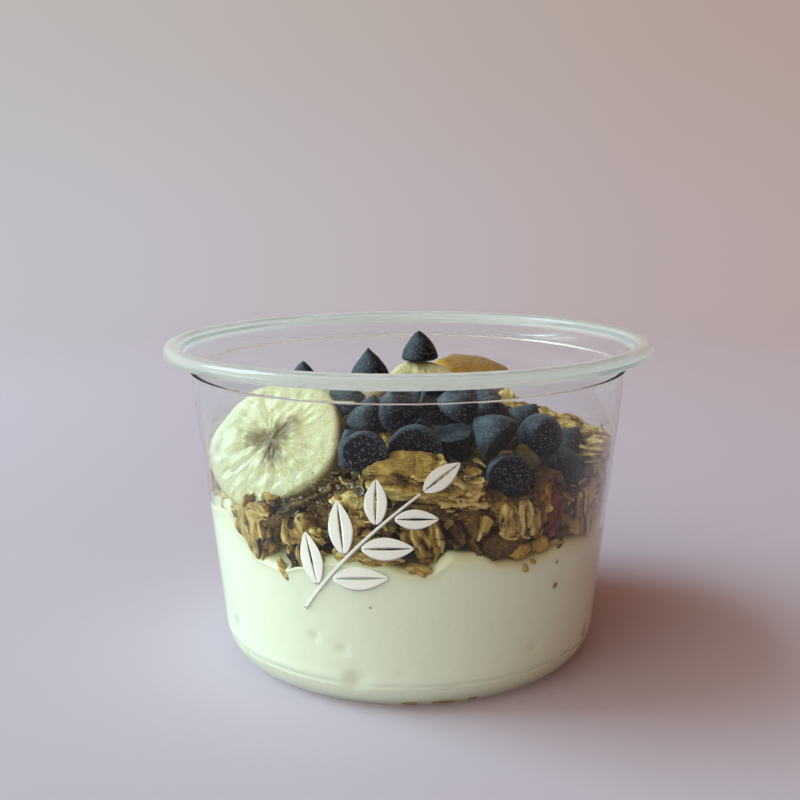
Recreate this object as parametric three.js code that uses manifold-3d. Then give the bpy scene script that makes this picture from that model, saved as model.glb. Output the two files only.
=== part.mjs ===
// A yogurt bowl: thick yogurt in a clear plastic cup with a rolled rim, topped with oat
// granola, dark chocolate drops and slices of banana.
// Millimetres, +Z up. The origin is the middle of the foot, on the surface it stands on.
// The front of the bowl faces -Y, and an azimuth is measured from the front towards +X.

import * as THREE from 'three';
import { mergeVertices } from 'three/addons/utils/BufferGeometryUtils.js';
import Module from 'manifold-3d';

const wasm = await Module();
wasm.setup();

// ---------------------------------------------------------------- driving dimensions

const CUP_HEIGHT = 76;
const RIM_RADIUS = 58.5;
const WALL = 0.7;
const CUP_SIDES = 36;

const FOOT_RADIUS = 40.3; // outer edge of the flat ring that the cup stands on
const FOOT_WIDTH = 7.5;
const FOOT_RECESS = 0.6;
const FLOOR_THICKNESS = 1.0;
const HEEL_RADIUS = 46.3; // top of the rounded heel
const HEEL_HEIGHT = 8.6;
const HEEL_STEPS = 4;
const SHOULDER_RADIUS = 52.2; // where the straight wall ends and the rim flares out
const SHOULDER_HEIGHT = 68.9;
const NECK_RADIUS = 54.6; // outer wall just under the rolled rim
const FLARE_OUT = 0.9; // how far the wall has flared a little way above the shoulder
const FLARE_RISE = 1.6;
const SKIRT_DEPTH = 3.0; // how far the rolled rim turns down
const LIP = 0.8; // thickness of the rolled rim
const LIP_ROUND = 0.7; // rounding along the rolled rim's edges

const GAP = 0.32; // left between pieces that touch
const STEP = 0.25; // how far a piece moves at a time while it finds its place
const MAX_STEPS = 120;
const UPWARD_PUSH = 0.35; // how much of a piece's way off its neighbour is upwards
const WALL_PUSH = 2; // how strongly the wall pushes a piece, when a neighbour's push is 1
const ROOM_CENTRE_HEIGHT = 52; // a piece that touches the wall moves towards this height on the axis
const LEAST_VOLUME = 1e-4; // mm3, a smaller overlap counts as none

const YOGURT_LEVEL = 34.2;
const YOGURT_RINGS = [0.3, 0.62, 0.88]; // shares of the radius
const YOGURT_SWELL = 1.2; // height of the yogurt's three slow waves round the wall
const YOGURT_RIPPLE = 0.9; // and of its seven short ones
const SMEAR_HEIGHT = 6.5; // the yogurt that was dragged up the wall
const SMEAR_AZIMUTH = -62;
const SMEAR_WIDTH = 20;
const SMEAR_INNER = 0.8; // share of the radius where the smear starts

const GRANOLA_RINGS = [0.2, 0.4, 0.6, 0.78, 0.92]; // shares of the radius
const GRANOLA_DEPTH = 6; // how far the granola is made below the yogurt's level before it is cut
const GRANOLA_EDGE = 50;
const GRANOLA_CROWN = 60;
const GRANOLA_FULLNESS = 3; // how broad its mound is
const GRANOLA_SIDE_TILT = 2.4; // how much higher its edge is on the right than in the middle
const GRANOLA_BACK_TILT = 1.8; // and at the back
const GRANOLA_UNEVENNESS = 1.3;
const GRANOLA_GRAIN = 0.16; // waves of unevenness per millimetre, in radians

const SLICE_RADIUS = 15;
const SLICE_THICKNESS = 8;
const SLICE_SIDES = 24;
const SLICE_SOFT_EDGE = 1.1;
const SLICE_SPIN = 0.4;
const DROP_RADIUS = 4.8;
const DROP_HEIGHT = 7.6;
const DROP_SIDES = 10;
const DROP_RINGS = 3;
const DROP_FLAT_SHARE = 0.88; // of the base's radius that is flat
const DROP_FIRST_RING = 0.1; // height of the lowest and the highest ring, as shares of the drop's
const DROP_LAST_RING = 0.92;
const CUTTER_SIDES = 6; // of the plainer shape that stands for a drop while others are fitted to it
const LUMP_SIDES = 10;
const LUMP_RINGS = 6;

// ---------------------------------------------------------------- materials

const finish = (color, roughness) => new THREE.MeshStandardMaterial({ color, roughness, metalness: 0 });

const clearPlastic = finish(0xe4ebea, 0.08);
clearPlastic.transparent = true;
clearPlastic.opacity = 0.3;
const yogurtCream = finish(0xeef3e2, 0.45);
const granolaOat = finish(0xa88752, 0.85);
const bananaFlesh = finish(0xe9efc8, 0.5);
const darkChocolate = finish(0x1f2433, 0.55);
const driedFruit = finish(0x4c1c08, 0.35);
const goldenFruit = finish(0x8a6a1f, 0.3);

// ---------------------------------------------------------------- solids and meshes

/** The closed geometry as a solid that can be cut and joined. */
function toSolid(geometry) {
  const bare = geometry.clone();
  bare.deleteAttribute('normal');
  bare.deleteAttribute('uv');
  const merged = mergeVertices(bare, 1e-4);
  const mesh = new wasm.Mesh({
    numProp: 3,
    vertProperties: new Float32Array(merged.attributes.position.array),
    triVerts: new Uint32Array(merged.index.array),
  });
  return new wasm.Manifold(mesh);
}

/** The largest body of a solid as a geometry, so that no loose crumb is left of a cut. */
function toGeometry(solid) {
  const bodies = solid.decompose().sort((a, b) => b.volume() - a.volume());
  const mesh = bodies[0].getMesh();
  const geometry = new THREE.BufferGeometry();
  geometry.setAttribute('position', new THREE.BufferAttribute(mesh.vertProperties, 3));
  geometry.setIndex(new THREE.BufferAttribute(mesh.triVerts, 1));
  geometry.computeVertexNormals();
  return geometry;
}

/** A turned shape about Z from a profile of [radius, height] pairs. */
function turned(profile, sides) {
  const points = profile.map(([radius, height]) => new THREE.Vector2(radius, height));
  return new THREE.LatheGeometry(points, sides).rotateX(Math.PI / 2);
}

/** Moves each vertex of a geometry by a function of its place. */
function reshape(geometry, move) {
  const position = geometry.attributes.position;
  const vertex = new THREE.Vector3();
  for (let i = 0; i < position.count; i += 1) {
    vertex.fromBufferAttribute(position, i);
    move(vertex);
    position.setXYZ(i, vertex.x, vertex.y, vertex.z);
  }
  return geometry;
}

/** The turn that stands a piece's own +Z along a direction, after a spin about itself. */
function turnTowards(direction, spin = 0) {
  const up = new THREE.Vector3(0, 0, 1);
  const target = new THREE.Vector3(...direction).normalize();
  const lean = new THREE.Quaternion().setFromUnitVectors(up, target);
  return lean.multiply(new THREE.Quaternion().setFromAxisAngle(up, spin));
}

const toRadians = (degrees) => THREE.MathUtils.degToRad(degrees);

/** Smooth unevenness between about -1 and 1, the same each time. */
function lumps(x, y, z, seed) {
  const coarse = Math.sin(1.9 * x + seed) * Math.cos(2.3 * y - 1.7 * seed) * Math.sin(2.1 * z + 0.6 * seed);
  const fine = Math.sin(4.3 * y + 2.9 * seed) * Math.cos(3.7 * z + 3.1 * x + seed);
  return 0.65 * coarse + 0.5 * fine;
}

// ---------------------------------------------------------------- the cup

const WALL_SLOPE = (SHOULDER_RADIUS - HEEL_RADIUS) / (SHOULDER_HEIGHT - HEEL_HEIGHT);
const FLOOR_TOP = FOOT_RECESS + FLOOR_THICKNESS;

/** The radius inside the cup at a height, less a clearance. */
function insideRadius(height, clearance = 0) {
  const inset = WALL + clearance;
  if (height < HEEL_HEIGHT) {
    const rise = 1 - Math.max(height - FOOT_RECESS, 0) / HEEL_HEIGHT;
    const reach = Math.sqrt(Math.max(1 - rise * rise, 0));
    return FOOT_RADIUS + (HEEL_RADIUS - FOOT_RADIUS) * reach - inset;
  }
  const straight = Math.min(height, SHOULDER_HEIGHT);
  return HEEL_RADIUS + WALL_SLOPE * (straight - HEEL_HEIGHT) - inset;
}

/** Points up the rounded heel, from the foot to where the straight wall begins. */
function heelProfile(inset, lift) {
  const points = [];
  for (let i = 0; i <= HEEL_STEPS; i += 1) {
    const angle = (i / HEEL_STEPS) * (Math.PI / 2);
    const radius = FOOT_RADIUS + (HEEL_RADIUS - FOOT_RADIUS) * Math.sin(angle) - inset;
    const height = lift + (HEEL_HEIGHT - lift) * (1 - Math.cos(angle));
    points.push([radius, height]);
  }
  return points;
}

function buildCup() {
  const skirtFoot = CUP_HEIGHT - SKIRT_DEPTH;
  const ceiling = CUP_HEIGHT - LIP;
  const flare = [SHOULDER_RADIUS + FLARE_OUT, SHOULDER_HEIGHT + FLARE_RISE];
  const outside = [
    [0, FOOT_RECESS],
    [FOOT_RADIUS - FOOT_WIDTH - FOOT_RECESS, FOOT_RECESS],
    [FOOT_RADIUS - FOOT_WIDTH, 0],
    ...heelProfile(0, 0),
    [SHOULDER_RADIUS, SHOULDER_HEIGHT],
    flare,
    [NECK_RADIUS, skirtFoot],
    [NECK_RADIUS + LIP_ROUND, ceiling],
  ];
  const rolledRim = [
    [RIM_RADIUS - LIP - LIP_ROUND / 2, ceiling],
    [RIM_RADIUS - LIP, skirtFoot],
    [RIM_RADIUS - LIP_ROUND / 3, skirtFoot],
    [RIM_RADIUS, skirtFoot + LIP_ROUND / 2],
    [RIM_RADIUS, CUP_HEIGHT - LIP - LIP_ROUND / 3],
    [RIM_RADIUS - LIP_ROUND, CUP_HEIGHT - LIP_ROUND / 6],
    [RIM_RADIUS - 2 * LIP_ROUND, CUP_HEIGHT],
    [NECK_RADIUS + LIP_ROUND, CUP_HEIGHT],
    [NECK_RADIUS - LIP_ROUND / 6, CUP_HEIGHT - LIP_ROUND / 2],
  ];
  const inside = [
    [NECK_RADIUS - WALL, skirtFoot],
    [flare[0] - WALL, flare[1]],
    [SHOULDER_RADIUS - WALL, SHOULDER_HEIGHT],
    ...heelProfile(WALL, FLOOR_TOP).reverse(),
    [0, FLOOR_TOP],
  ];
  return turned([...outside, ...rolledRim, ...inside], CUP_SIDES);
}

/** All the room inside the cup, less a clearance: what lies in the cup stays within it. */
function cupRoom(clearance) {
  const floor = FLOOR_TOP + clearance;
  const walls = heelProfile(WALL + clearance, floor);
  const shoulder = [SHOULDER_RADIUS - WALL - clearance, SHOULDER_HEIGHT];
  const rim = [NECK_RADIUS - WALL - clearance, CUP_HEIGHT];
  return turned([[0, floor], ...walls, shoulder, rim, [0, CUP_HEIGHT]], CUP_SIDES);
}

// ---------------------------------------------------------------- yogurt and granola levels

const azimuthOf = (x, y) => Math.atan2(x, -y);

/** Height of the yogurt: a slow swell, and a smear up the wall at the front left. */
function yogurtTop(x, y) {
  const azimuth = azimuthOf(x, y);
  const reach = Math.hypot(x, y) / insideRadius(YOGURT_LEVEL);
  const swell = YOGURT_SWELL * Math.sin(3 * azimuth + 0.6) + YOGURT_RIPPLE * Math.sin(7 * azimuth);
  const turn = (azimuth - toRadians(SMEAR_AZIMUTH)) / toRadians(SMEAR_WIDTH);
  const outwards = Math.max(reach - SMEAR_INNER, 0) / (1 - SMEAR_INNER);
  return YOGURT_LEVEL + swell * reach + SMEAR_HEIGHT * Math.exp(-turn * turn) * outwards;
}

/** Height of the granola's uneven top: a mound, higher on the right than on the left. */
function granolaTop(x, y) {
  const azimuth = azimuthOf(x, y);
  const reach = Math.hypot(x, y) / insideRadius(GRANOLA_EDGE);
  const tilt = GRANOLA_SIDE_TILT * Math.sin(azimuth) - GRANOLA_BACK_TILT * Math.cos(azimuth);
  const edge = GRANOLA_EDGE + tilt;
  const mound = (GRANOLA_CROWN - edge) * (1 - reach ** GRANOLA_FULLNESS);
  return edge + mound + GRANOLA_UNEVENNESS * lumps(GRANOLA_GRAIN * x, GRANOLA_GRAIN * y, 0.4, 2.2);
}

/** The yogurt fills the cup's floor and heel, up to its wavy level. */
function buildYogurt(clearance, lift) {
  const floor = FLOOR_TOP + clearance;
  const edge = insideRadius(YOGURT_LEVEL, clearance);
  const across = YOGURT_RINGS.map((share) => [share * edge, YOGURT_LEVEL]).reverse();
  const wall = heelProfile(WALL + clearance, floor);
  const profile = [[0, floor], ...wall, [edge, YOGURT_LEVEL], ...across, [0, YOGURT_LEVEL]];
  return reshape(turned(profile, CUP_SIDES), (vertex) => {
    if (vertex.z < YOGURT_LEVEL - 1) {
      return;
    }
    const isEdge = Math.hypot(vertex.x, vertex.y) > edge - 1;
    vertex.z = yogurtTop(vertex.x, vertex.y) + lift;
    const stretch = isEdge ? insideRadius(vertex.z, clearance) / edge : 1;
    vertex.x *= stretch;
    vertex.y *= stretch;
  });
}

/** The granola from below the yogurt's top, which cuts it later, up to its own uneven top. */
function buildGranola() {
  const floor = YOGURT_LEVEL - GRANOLA_DEPTH;
  const across = GRANOLA_RINGS.map((share) => [share, 1]).reverse();
  const profile = [[0, 0], [1, 0], [1, 1], ...across, [0, 1]];
  return reshape(turned(profile, CUP_SIDES), (vertex) => {
    const isTop = vertex.z > 0.5;
    const full = insideRadius(isTop ? GRANOLA_EDGE : floor, GAP);
    const height = isTop ? granolaTop(vertex.x * full, vertex.y * full) : floor;
    const radius = insideRadius(height, GAP);
    vertex.set(vertex.x * radius, vertex.y * radius, height);
  });
}

// ---------------------------------------------------------------- toppings

/** A banana slice: an uneven disc with softened edges, flat on Z = +-half its thickness. */
function sliceShape(radius, thickness, grow = 0) {
  const half = thickness / 2 + grow;
  const full = radius + grow;
  const profile = [
    [0, -half],
    [full - SLICE_SOFT_EDGE, -half],
    [full, SLICE_SOFT_EDGE - half],
    [full, half - SLICE_SOFT_EDGE],
    [full - SLICE_SOFT_EDGE, half],
    [0, half],
  ];
  return reshape(turned(profile, SLICE_SIDES), (vertex) => {
    const angle = Math.atan2(vertex.y, vertex.x);
    const outline = 1 + 0.025 * Math.cos(5 * angle) + 0.03 * Math.cos(2 * angle + 0.7);
    vertex.x *= outline;
    vertex.y *= outline;
  });
}

/** A chocolate drop: flat base, round sides and a soft tip along its own +Z. */
function dropShape(size, sharpness, grow = 0, sides = DROP_SIDES) {
  const circumscribed = sides === DROP_SIDES ? 1 : 1 / Math.cos(Math.PI / sides);
  const radius = (DROP_RADIUS * size + grow) * circumscribed;
  const height = DROP_HEIGHT * size + 2 * grow;
  const profile = [[0, -height / 2], [radius * DROP_FLAT_SHARE, -height / 2]];
  for (let i = 0; i < DROP_RINGS; i += 1) {
    const climb = THREE.MathUtils.lerp(DROP_FIRST_RING, DROP_LAST_RING, i / (DROP_RINGS - 1));
    profile.push([radius * Math.cos((climb * Math.PI) / 2) ** sharpness, height * (climb - 0.5)]);
  }
  profile.push([0, height / 2]);
  return turned(profile, sides);
}

/** A lump of baked oats or a dried fruit: an ellipsoid with dents and bulges. */
function lumpShape(radii, roughness, seed, grow = 0) {
  const ball = new THREE.SphereGeometry(1, LUMP_SIDES, LUMP_RINGS);
  return reshape(ball, (vertex) => {
    const bulge = 1 + roughness * lumps(vertex.x * 1.6, vertex.y * 1.6, vertex.z * 1.6, seed);
    vertex.x *= bulge * radii[0] + grow;
    vertex.y *= bulge * radii[1] + grow;
    vertex.z *= bulge * radii[2] + grow;
  });
}

// The banana slices: where their middles are and which way one cut face looks.
const SLICES = [
  { name: 'banana_slice_front', at: [-30.2, -26.6, 55.2], face: [-0.24, -0.62, 0.75], size: 1.04 },
  { name: 'banana_slice_middle', at: [-16, 2.4, 59], face: [-0.05, -0.1, 0.99], size: 0.76 },
  { name: 'banana_slice_back', at: [3.5, 15, 56.2], face: [0.04, -0.7, 0.71], size: 0.73 },
  { name: 'banana_slice_glazed', at: [19.5, 33, 58.2], face: [0.08, -0.16, 0.98], size: 0.8 },
];

// The chocolate drops: middle, the way the tip points, size, and how pointed the tip is.
const DROPS = [
  { at: [28, -35.5, 60], tip: [-0.1, -0.85, 0.5], size: 1.03, sharpness: 0.7 },
  { at: [33.6, -29, 52.8], tip: [-0.1, 0.85, 0.5], size: 1.05, sharpness: 0.8 },
  { at: [20.8, -40.3, 52.6], tip: [-0.2, 0.95, 0.15], size: 1.0, sharpness: 0.8 },
  { at: [17.2, -38, 60.2], tip: [-0.67, 0.5, 0.56], size: 1.05, sharpness: 0.8 },
  { at: [-8.6, -42, 58.4], tip: [0.1, 0.97, 0.2], size: 1.0, sharpness: 0.8 },
  { at: [-0.8, -39, 57.4], tip: [0.05, 0.96, 0.25], size: 1.2, sharpness: 0.8 },
  { at: [9.2, -37, 55.4], tip: [0.15, 0.2, -0.95], size: 0.92, sharpness: 0.9 },
  { at: [8.2, -30.5, 57.5], tip: [-0.3, 0.8, -0.3], size: 0.95, sharpness: 0.85 },
  { at: [-0.6, -33.5, 62.2], tip: [-0.3, -0.6, 0.75], size: 1.0, sharpness: 0.7 },
  { at: [18.4, -27, 62.4], tip: [0.1, -0.5, 0.86], size: 1.1, sharpness: 0.7 },
  { at: [12.6, -33, 60.8], tip: [0.5, -0.2, 0.85], size: 1.0, sharpness: 0.8 },
  { at: [-12.5, -33.8, 56.8], tip: [-0.4, -0.2, 0.9], size: 0.98, sharpness: 0.8 },
  { at: [35.5, -21.5, 57], tip: [0.5, 0.3, 0.8], size: 0.92, sharpness: 0.8 },
  { at: [26.5, -19.5, 60.4], tip: [0.6, 0.2, 0.75], size: 0.95, sharpness: 0.8 },
  { at: [2.2, -24.5, 58.2], tip: [0.2, -0.6, 0.7], size: 1.0, sharpness: 0.85 },
  { at: [12, -22, 58.6], tip: [0.1, -0.6, 0.75], size: 1.0, sharpness: 0.85 },
  { at: [-7, -23, 59.6], tip: [0.2, -0.1, 0.97], size: 1.0, sharpness: 0.85 },
  { at: [-15, -19.5, 59.6], tip: [-0.6, 0.1, 0.7], size: 0.96, sharpness: 0.85 },
  { at: [7, -15, 61], tip: [-0.3, 0.5, 0.75], size: 1.04, sharpness: 0.8 },
  { at: [-2, -14.5, 60.2], tip: [0.7, -0.5, 0.4], size: 1.0, sharpness: 0.85 },
  { at: [18, -11.5, 60.4], tip: [0.2, 0.1, 0.96], size: 1.02, sharpness: 0.9 },
  { at: [8.5, -5, 60.4], tip: [0.8, -0.2, 0.5], size: 0.98, sharpness: 0.85 },
  { at: [29.5, -9.5, 58.4], tip: [0.7, -0.5, 0.5], size: 0.95, sharpness: 0.85 },
  { at: [-28.4, 27, 61.8], tip: [0.1, 0.1, 0.98], size: 1.02, sharpness: 0.85 },
  { at: [-10.4, 4, 67.1], tip: [0, 0.05, 1], size: 1.0, sharpness: 1.15 },
  { at: [3.2, 20.5, 68.4], tip: [-0.03, -0.05, 1], size: 1.0, sharpness: 0.75 },
  { at: [18.5, 6.5, 59.6], tip: [-0.3, 0.6, 0.7], size: 1.0, sharpness: 0.85 },
  { at: [-31, -3.5, 57], tip: [-0.7, 0.2, 0.65], size: 1.0, sharpness: 0.85 },
  { at: [-14, 27, 59], tip: [-0.1, 0.6, 0.75], size: 0.97, sharpness: 0.85 },
  { at: [2.5, 2.5, 60], tip: [0.3, -0.7, 0.6], size: 0.95, sharpness: 0.85 },
];

// The largest lumps of baked oats, and the fruit and seed among them.
const LUMPS = [
  { name: 'granola_cluster_front', at: [1.8, -43.5, 52.6], radii: [12.5, 6.5, 5.6], lean: 6, kind: 'oat' },
  { name: 'granola_cluster_centre', at: [2.8, -44, 41.5], radii: [4.6, 4.6, 8.4], lean: -12, kind: 'oat' },
  { name: 'granola_cluster_right', at: [19, -39.5, 43.6], radii: [6.4, 5.2, 8], lean: 12, kind: 'oat' },
  { name: 'granola_cluster_edge', at: [40.5, -21.5, 53], radii: [5.4, 5.4, 6.4], lean: -20, kind: 'oat' },
  { name: 'raisin_dark', at: [30.4, -34.2, 42.8], radii: [3.4, 3.6, 7.2], lean: 8, kind: 'raisin' },
  { name: 'raisin_golden_low', at: [22.9, -39.4, 35.3], radii: [3.2, 2.8, 2.5], lean: 0, kind: 'golden' },
  { name: 'raisin_golden_side', at: [27.6, -36.2, 35.6], radii: [2.7, 2.7, 2.5], lean: 20, kind: 'golden' },
  { name: 'pumpkin_seed', at: [25.4, -36, 54.6], radii: [4.2, 1.9, 2.9], lean: 30, kind: 'golden' },
];

const LUMP_MATERIALS = { oat: granolaOat, raisin: driedFruit, golden: goldenFruit };
const LUMP_ROUGHNESS = { oat: 0.13, raisin: 0.08, golden: 0.05 };

/** A copy of a shape, turned and moved into its place. */
function placeShape(shape, turn, place) {
  const matrix = new THREE.Matrix4().compose(place, turn, new THREE.Vector3(1, 1, 1));
  return shape.clone().applyMatrix4(matrix);
}

/** A soft piece takes the wall's curve where it is pressed against it. */
function pressToWall(shape, clearance) {
  return reshape(shape, (vertex) => {
    const reach = insideRadius(vertex.z, clearance) / Math.hypot(vertex.x, vertex.y);
    if (reach < 1) {
      vertex.x *= reach;
      vertex.y *= reach;
    }
  });
}

const touches = (solid, other) => solid.intersect(other).volume() > LEAST_VOLUME;

/** The way from the middle of another solid to a place, a little upwards of straight. */
function awayFrom(other, place) {
  const { min, max } = other.boundingBox();
  const middle = new THREE.Vector3(...min).add(new THREE.Vector3(...max)).multiplyScalar(0.5);
  const away = place.clone().sub(middle).normalize();
  away.z += UPWARD_PUSH;
  return away;
}

/** Moves a piece off its neighbours and into its bounds, step by step, until it lies clear. */
function settle(shapeAt, start, neighbours, bounds = null) {
  const place = start.clone();
  for (let i = 0; i < MAX_STEPS; i += 1) {
    const solid = shapeAt(place);
    const pushes = neighbours.filter((other) => touches(solid, other)).map((other) => awayFrom(other, place));
    if (bounds && solid.subtract(bounds).volume() > LEAST_VOLUME) {
      const inwards = new THREE.Vector3(0, 0, ROOM_CENTRE_HEIGHT).sub(place).normalize();
      pushes.push(inwards.multiplyScalar(WALL_PUSH));
    }
    if (pushes.length === 0) {
      return place;
    }
    const push = pushes.reduce((sum, next) => sum.add(next), new THREE.Vector3());
    place.addScaledVector(push.normalize(), STEP);
  }
  throw new Error(`no room near ${start.toArray()}`);
}

// ---------------------------------------------------------------- the bowl

const bowl = new THREE.Group();
bowl.name = 'yogurt_bowl';

function addMesh(name, geometry, material) {
  const mesh = new THREE.Mesh(geometry, material);
  mesh.name = name;
  bowl.add(mesh);
  return mesh;
}

const room = toSolid(cupRoom(GAP));

addMesh('cup', buildCup(), clearPlastic);

// The outlines of the pieces laid so far, grown by the gap: each later piece keeps clear of them.
const laid = [];

for (const slice of SLICES) {
  const turn = turnTowards(slice.face, SLICE_SPIN);
  const radius = SLICE_RADIUS * slice.size;
  const grown = sliceShape(radius, SLICE_THICKNESS, GAP);
  const shapeAt = (place) => toSolid(placeShape(grown, turn, place));
  const place = settle(shapeAt, new THREE.Vector3(...slice.at), laid);
  const shape = pressToWall(placeShape(sliceShape(radius, SLICE_THICKNESS), turn, place), GAP);
  addMesh(slice.name, shape, bananaFlesh);
  laid.push(toSolid(pressToWall(placeShape(grown, turn, place), 0)));
}

DROPS.forEach((drop, index) => {
  const turn = turnTowards(drop.tip, index);
  const grown = dropShape(drop.size, drop.sharpness, GAP, CUTTER_SIDES);
  const shapeAt = (place) => toSolid(placeShape(grown, turn, place));
  const place = settle(shapeAt, new THREE.Vector3(...drop.at), laid, room);
  const number = String(index + 1).padStart(2, '0');
  const mesh = addMesh(`chocolate_drop_${number}`, dropShape(drop.size, drop.sharpness), darkChocolate);
  mesh.quaternion.copy(turn);
  mesh.position.copy(place);
  laid.push(shapeAt(place));
});

/** A solid less every piece that has been laid before it. */
const cutByLaid = (solid) => laid.reduce((rest, other) => rest.subtract(other), solid);

LUMPS.forEach((lump, index) => {
  const roughness = LUMP_ROUGHNESS[lump.kind];
  const facing = azimuthOf(lump.at[0], lump.at[1]);
  const euler = new THREE.Euler(0, toRadians(lump.lean), facing, 'ZYX');
  const turn = new THREE.Quaternion().setFromEuler(euler);
  const place = new THREE.Vector3(...lump.at);
  const shape = pressToWall(placeShape(lumpShape(lump.radii, roughness, index), turn, place), GAP);
  const shown = cutByLaid(toSolid(shape));
  addMesh(lump.name, toGeometry(shown), LUMP_MATERIALS[lump.kind]);
  const grown = lumpShape(lump.radii, roughness, index, GAP);
  laid.push(toSolid(pressToWall(placeShape(grown, turn, place), 0)));
});

const yogurt = toSolid(buildYogurt(GAP, 0));
const yogurtAndGap = toSolid(buildYogurt(0, GAP));
const granola = toSolid(buildGranola()).subtract(yogurtAndGap);
addMesh('yogurt', toGeometry(cutByLaid(yogurt)), yogurtCream);
addMesh('granola', toGeometry(cutByLaid(granola)), granolaOat);

export default bowl;
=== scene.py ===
"""The looks of a yogurt bowl: a clear cup of set yogurt with granola, chocolate drops and banana.

Every piece is modelled in millimetres in the part's own frame (+Z up, the front towards -Y) and is
brought to metres as it is finished. An azimuth is measured from the front towards +X.
"""

import logging
import math
import random
from dataclasses import dataclass
from enum import Enum
from typing import Callable, Optional, Sequence

import bmesh
import bpy
from mathutils import Matrix, Quaternion, Vector, noise


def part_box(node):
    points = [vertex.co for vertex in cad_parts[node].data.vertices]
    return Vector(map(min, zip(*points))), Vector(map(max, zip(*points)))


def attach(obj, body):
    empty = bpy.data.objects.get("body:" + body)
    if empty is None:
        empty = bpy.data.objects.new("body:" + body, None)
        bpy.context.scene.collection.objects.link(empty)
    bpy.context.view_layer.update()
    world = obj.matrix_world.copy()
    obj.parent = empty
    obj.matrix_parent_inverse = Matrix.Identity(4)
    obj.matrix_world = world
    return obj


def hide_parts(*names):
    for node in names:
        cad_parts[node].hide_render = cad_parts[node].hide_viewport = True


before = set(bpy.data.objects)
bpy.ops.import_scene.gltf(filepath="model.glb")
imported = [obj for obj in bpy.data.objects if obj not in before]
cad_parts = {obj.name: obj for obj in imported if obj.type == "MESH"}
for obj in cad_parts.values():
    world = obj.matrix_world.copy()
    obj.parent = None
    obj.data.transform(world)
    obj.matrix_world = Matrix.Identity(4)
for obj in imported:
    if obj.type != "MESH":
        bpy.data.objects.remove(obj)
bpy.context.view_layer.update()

MM = 0.001
BODY = "root"
LOCAL = "local"  # a vertex's place in its own piece, in millimetres
TONE = "tone"  # how light a vertex is within its finish, from 0 to 1, with painted shade on the oats and painted light on the drops
EDGE = "edge"  # how near a vertex is to a place with a colour of its own: a thin, browned or rubbed edge, and painted shade on the yogurt and the banana's side, and a painted highlight on the drops' rims
LAYER = "layer"  # how many layers of oats lie below a vertex

Pair = tuple[float, float]
Colour = tuple[float, float, float]
Profile = list[Pair]  # radius and height of each point of a turned shape's section
Shape = bmesh.types.BMesh
Material = bpy.types.Material
Socket = bpy.types.NodeSocket
Number = Socket | float

log = logging.getLogger("yogurt_bowl")


class Slot(Enum):
    """Names for the finishes' slots; nothing here reads them."""

    PLASTIC = "clear_plastic"
    YOGURT = "yogurt"
    GRANOLA = "granola"
    BANANA = "banana"
    CHOCOLATE = "dark_chocolate"
    RAISIN = "dark_raisin"
    FRUIT = "golden_fruit"
    SEED = "seed"
    GLAZE = "honey_glaze"
    DROPLETS = "droplets"
    INK = "white_ink"


# --- small helpers ---


def smoothstep(low: float, high: float, value: float) -> float:
    """A soft step from 0 at low to 1 at high."""
    share = min(max((value - low) / (high - low), 0.0), 1.0)
    return share * share * (3 - 2 * share)


def bell(distance: float, width: float) -> float:
    """A bell curve, 1 at no distance."""
    return math.exp(-(distance / width) ** 2)


def azimuth_of(place: Vector) -> float:
    """The azimuth of a place, in radians."""
    return math.atan2(place.x, -place.y)


def reach_of(place: Vector) -> float:
    """How far a place is from the axis."""
    return math.hypot(place.x, place.y)


def draw_in(place: Vector, share: float) -> None:
    """Multiplies a place's distance from the axis."""
    place.x *= share
    place.y *= share


def round_axis(radius: float, azimuth: float, height: float) -> Vector:
    """The place at a radius, an azimuth in degrees and a height."""
    angle = math.radians(azimuth)
    return Vector((radius * math.sin(angle), -radius * math.cos(angle), height))


def along_curve(stops: Sequence[Pair], at: float) -> float:
    """A smooth curve through a few stops.

    Args:
        stops: Pairs of place and value, in rising order of place.
        at: The place to read.

    Returns:
        The value there, which is level beyond the first and the last stop.
    """
    if at <= stops[0][0]:
        return stops[0][1]
    for (left, low), (right, high) in zip(stops, stops[1:]):
        if at <= right:
            return low + (high - low) * smoothstep(left, right, at)
    return stops[-1][1]


def fractal(place: Vector, grain: float, octaves: int = 4) -> float:
    """Uneven noise between about -1 and 1, with the given number of waves per millimetre."""
    return noise.fractal(place * grain, 0.9, 2.1, octaves)


def standing(direction: Vector, place: Vector, spin: float = 0.0) -> Matrix:
    """A matrix that turns +Z to a direction, after a spin about it in radians, and moves the origin."""
    lean = Vector((0, 0, 1)).rotation_difference(direction.normalized())
    return Matrix.Translation(place) @ (lean @ Quaternion((0, 0, 1), spin)).to_matrix().to_4x4()


# --- meshes ---


def spun(profile: Profile, steps: int) -> Shape:
    """A closed turned shape about Z.

    Args:
        profile: Radius and height of each point, from the axis round to the axis.
        steps: How many faces go round.

    Returns:
        The shape, with its faces pointing outwards.
    """
    bm = bmesh.new()
    points = [bm.verts.new((radius, 0, height)) for radius, height in profile]
    edges = [bm.edges.new(pair) for pair in zip(points, points[1:])]
    turn = {"cent": (0, 0, 0), "axis": (0, 0, 1), "angle": math.tau}
    bmesh.ops.spin(bm, geom=points + edges, steps=steps, use_merge=True, **turn)
    bmesh.ops.remove_doubles(bm, verts=bm.verts, dist=1e-5)
    bmesh.ops.recalc_face_normals(bm, faces=bm.faces)
    return bm


def arc(centre: Pair, radii: Pair, start: float, end: float, steps: int) -> Profile:
    """Points on a stretch of an ellipse in a profile.

    Args:
        centre: Radius and height of the middle.
        radii: Half its width and half its height.
        start: First angle in degrees, from outwards towards up.
        end: Last angle in degrees.
        steps: How many stretches the arc has.

    Returns:
        The points, with both ends.
    """
    points = []
    for i in range(steps + 1):
        angle = math.radians(start + (end - start) * i / steps)
        points.append((centre[0] + radii[0] * math.cos(angle), centre[1] + radii[1] * math.sin(angle)))
    return points


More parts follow.
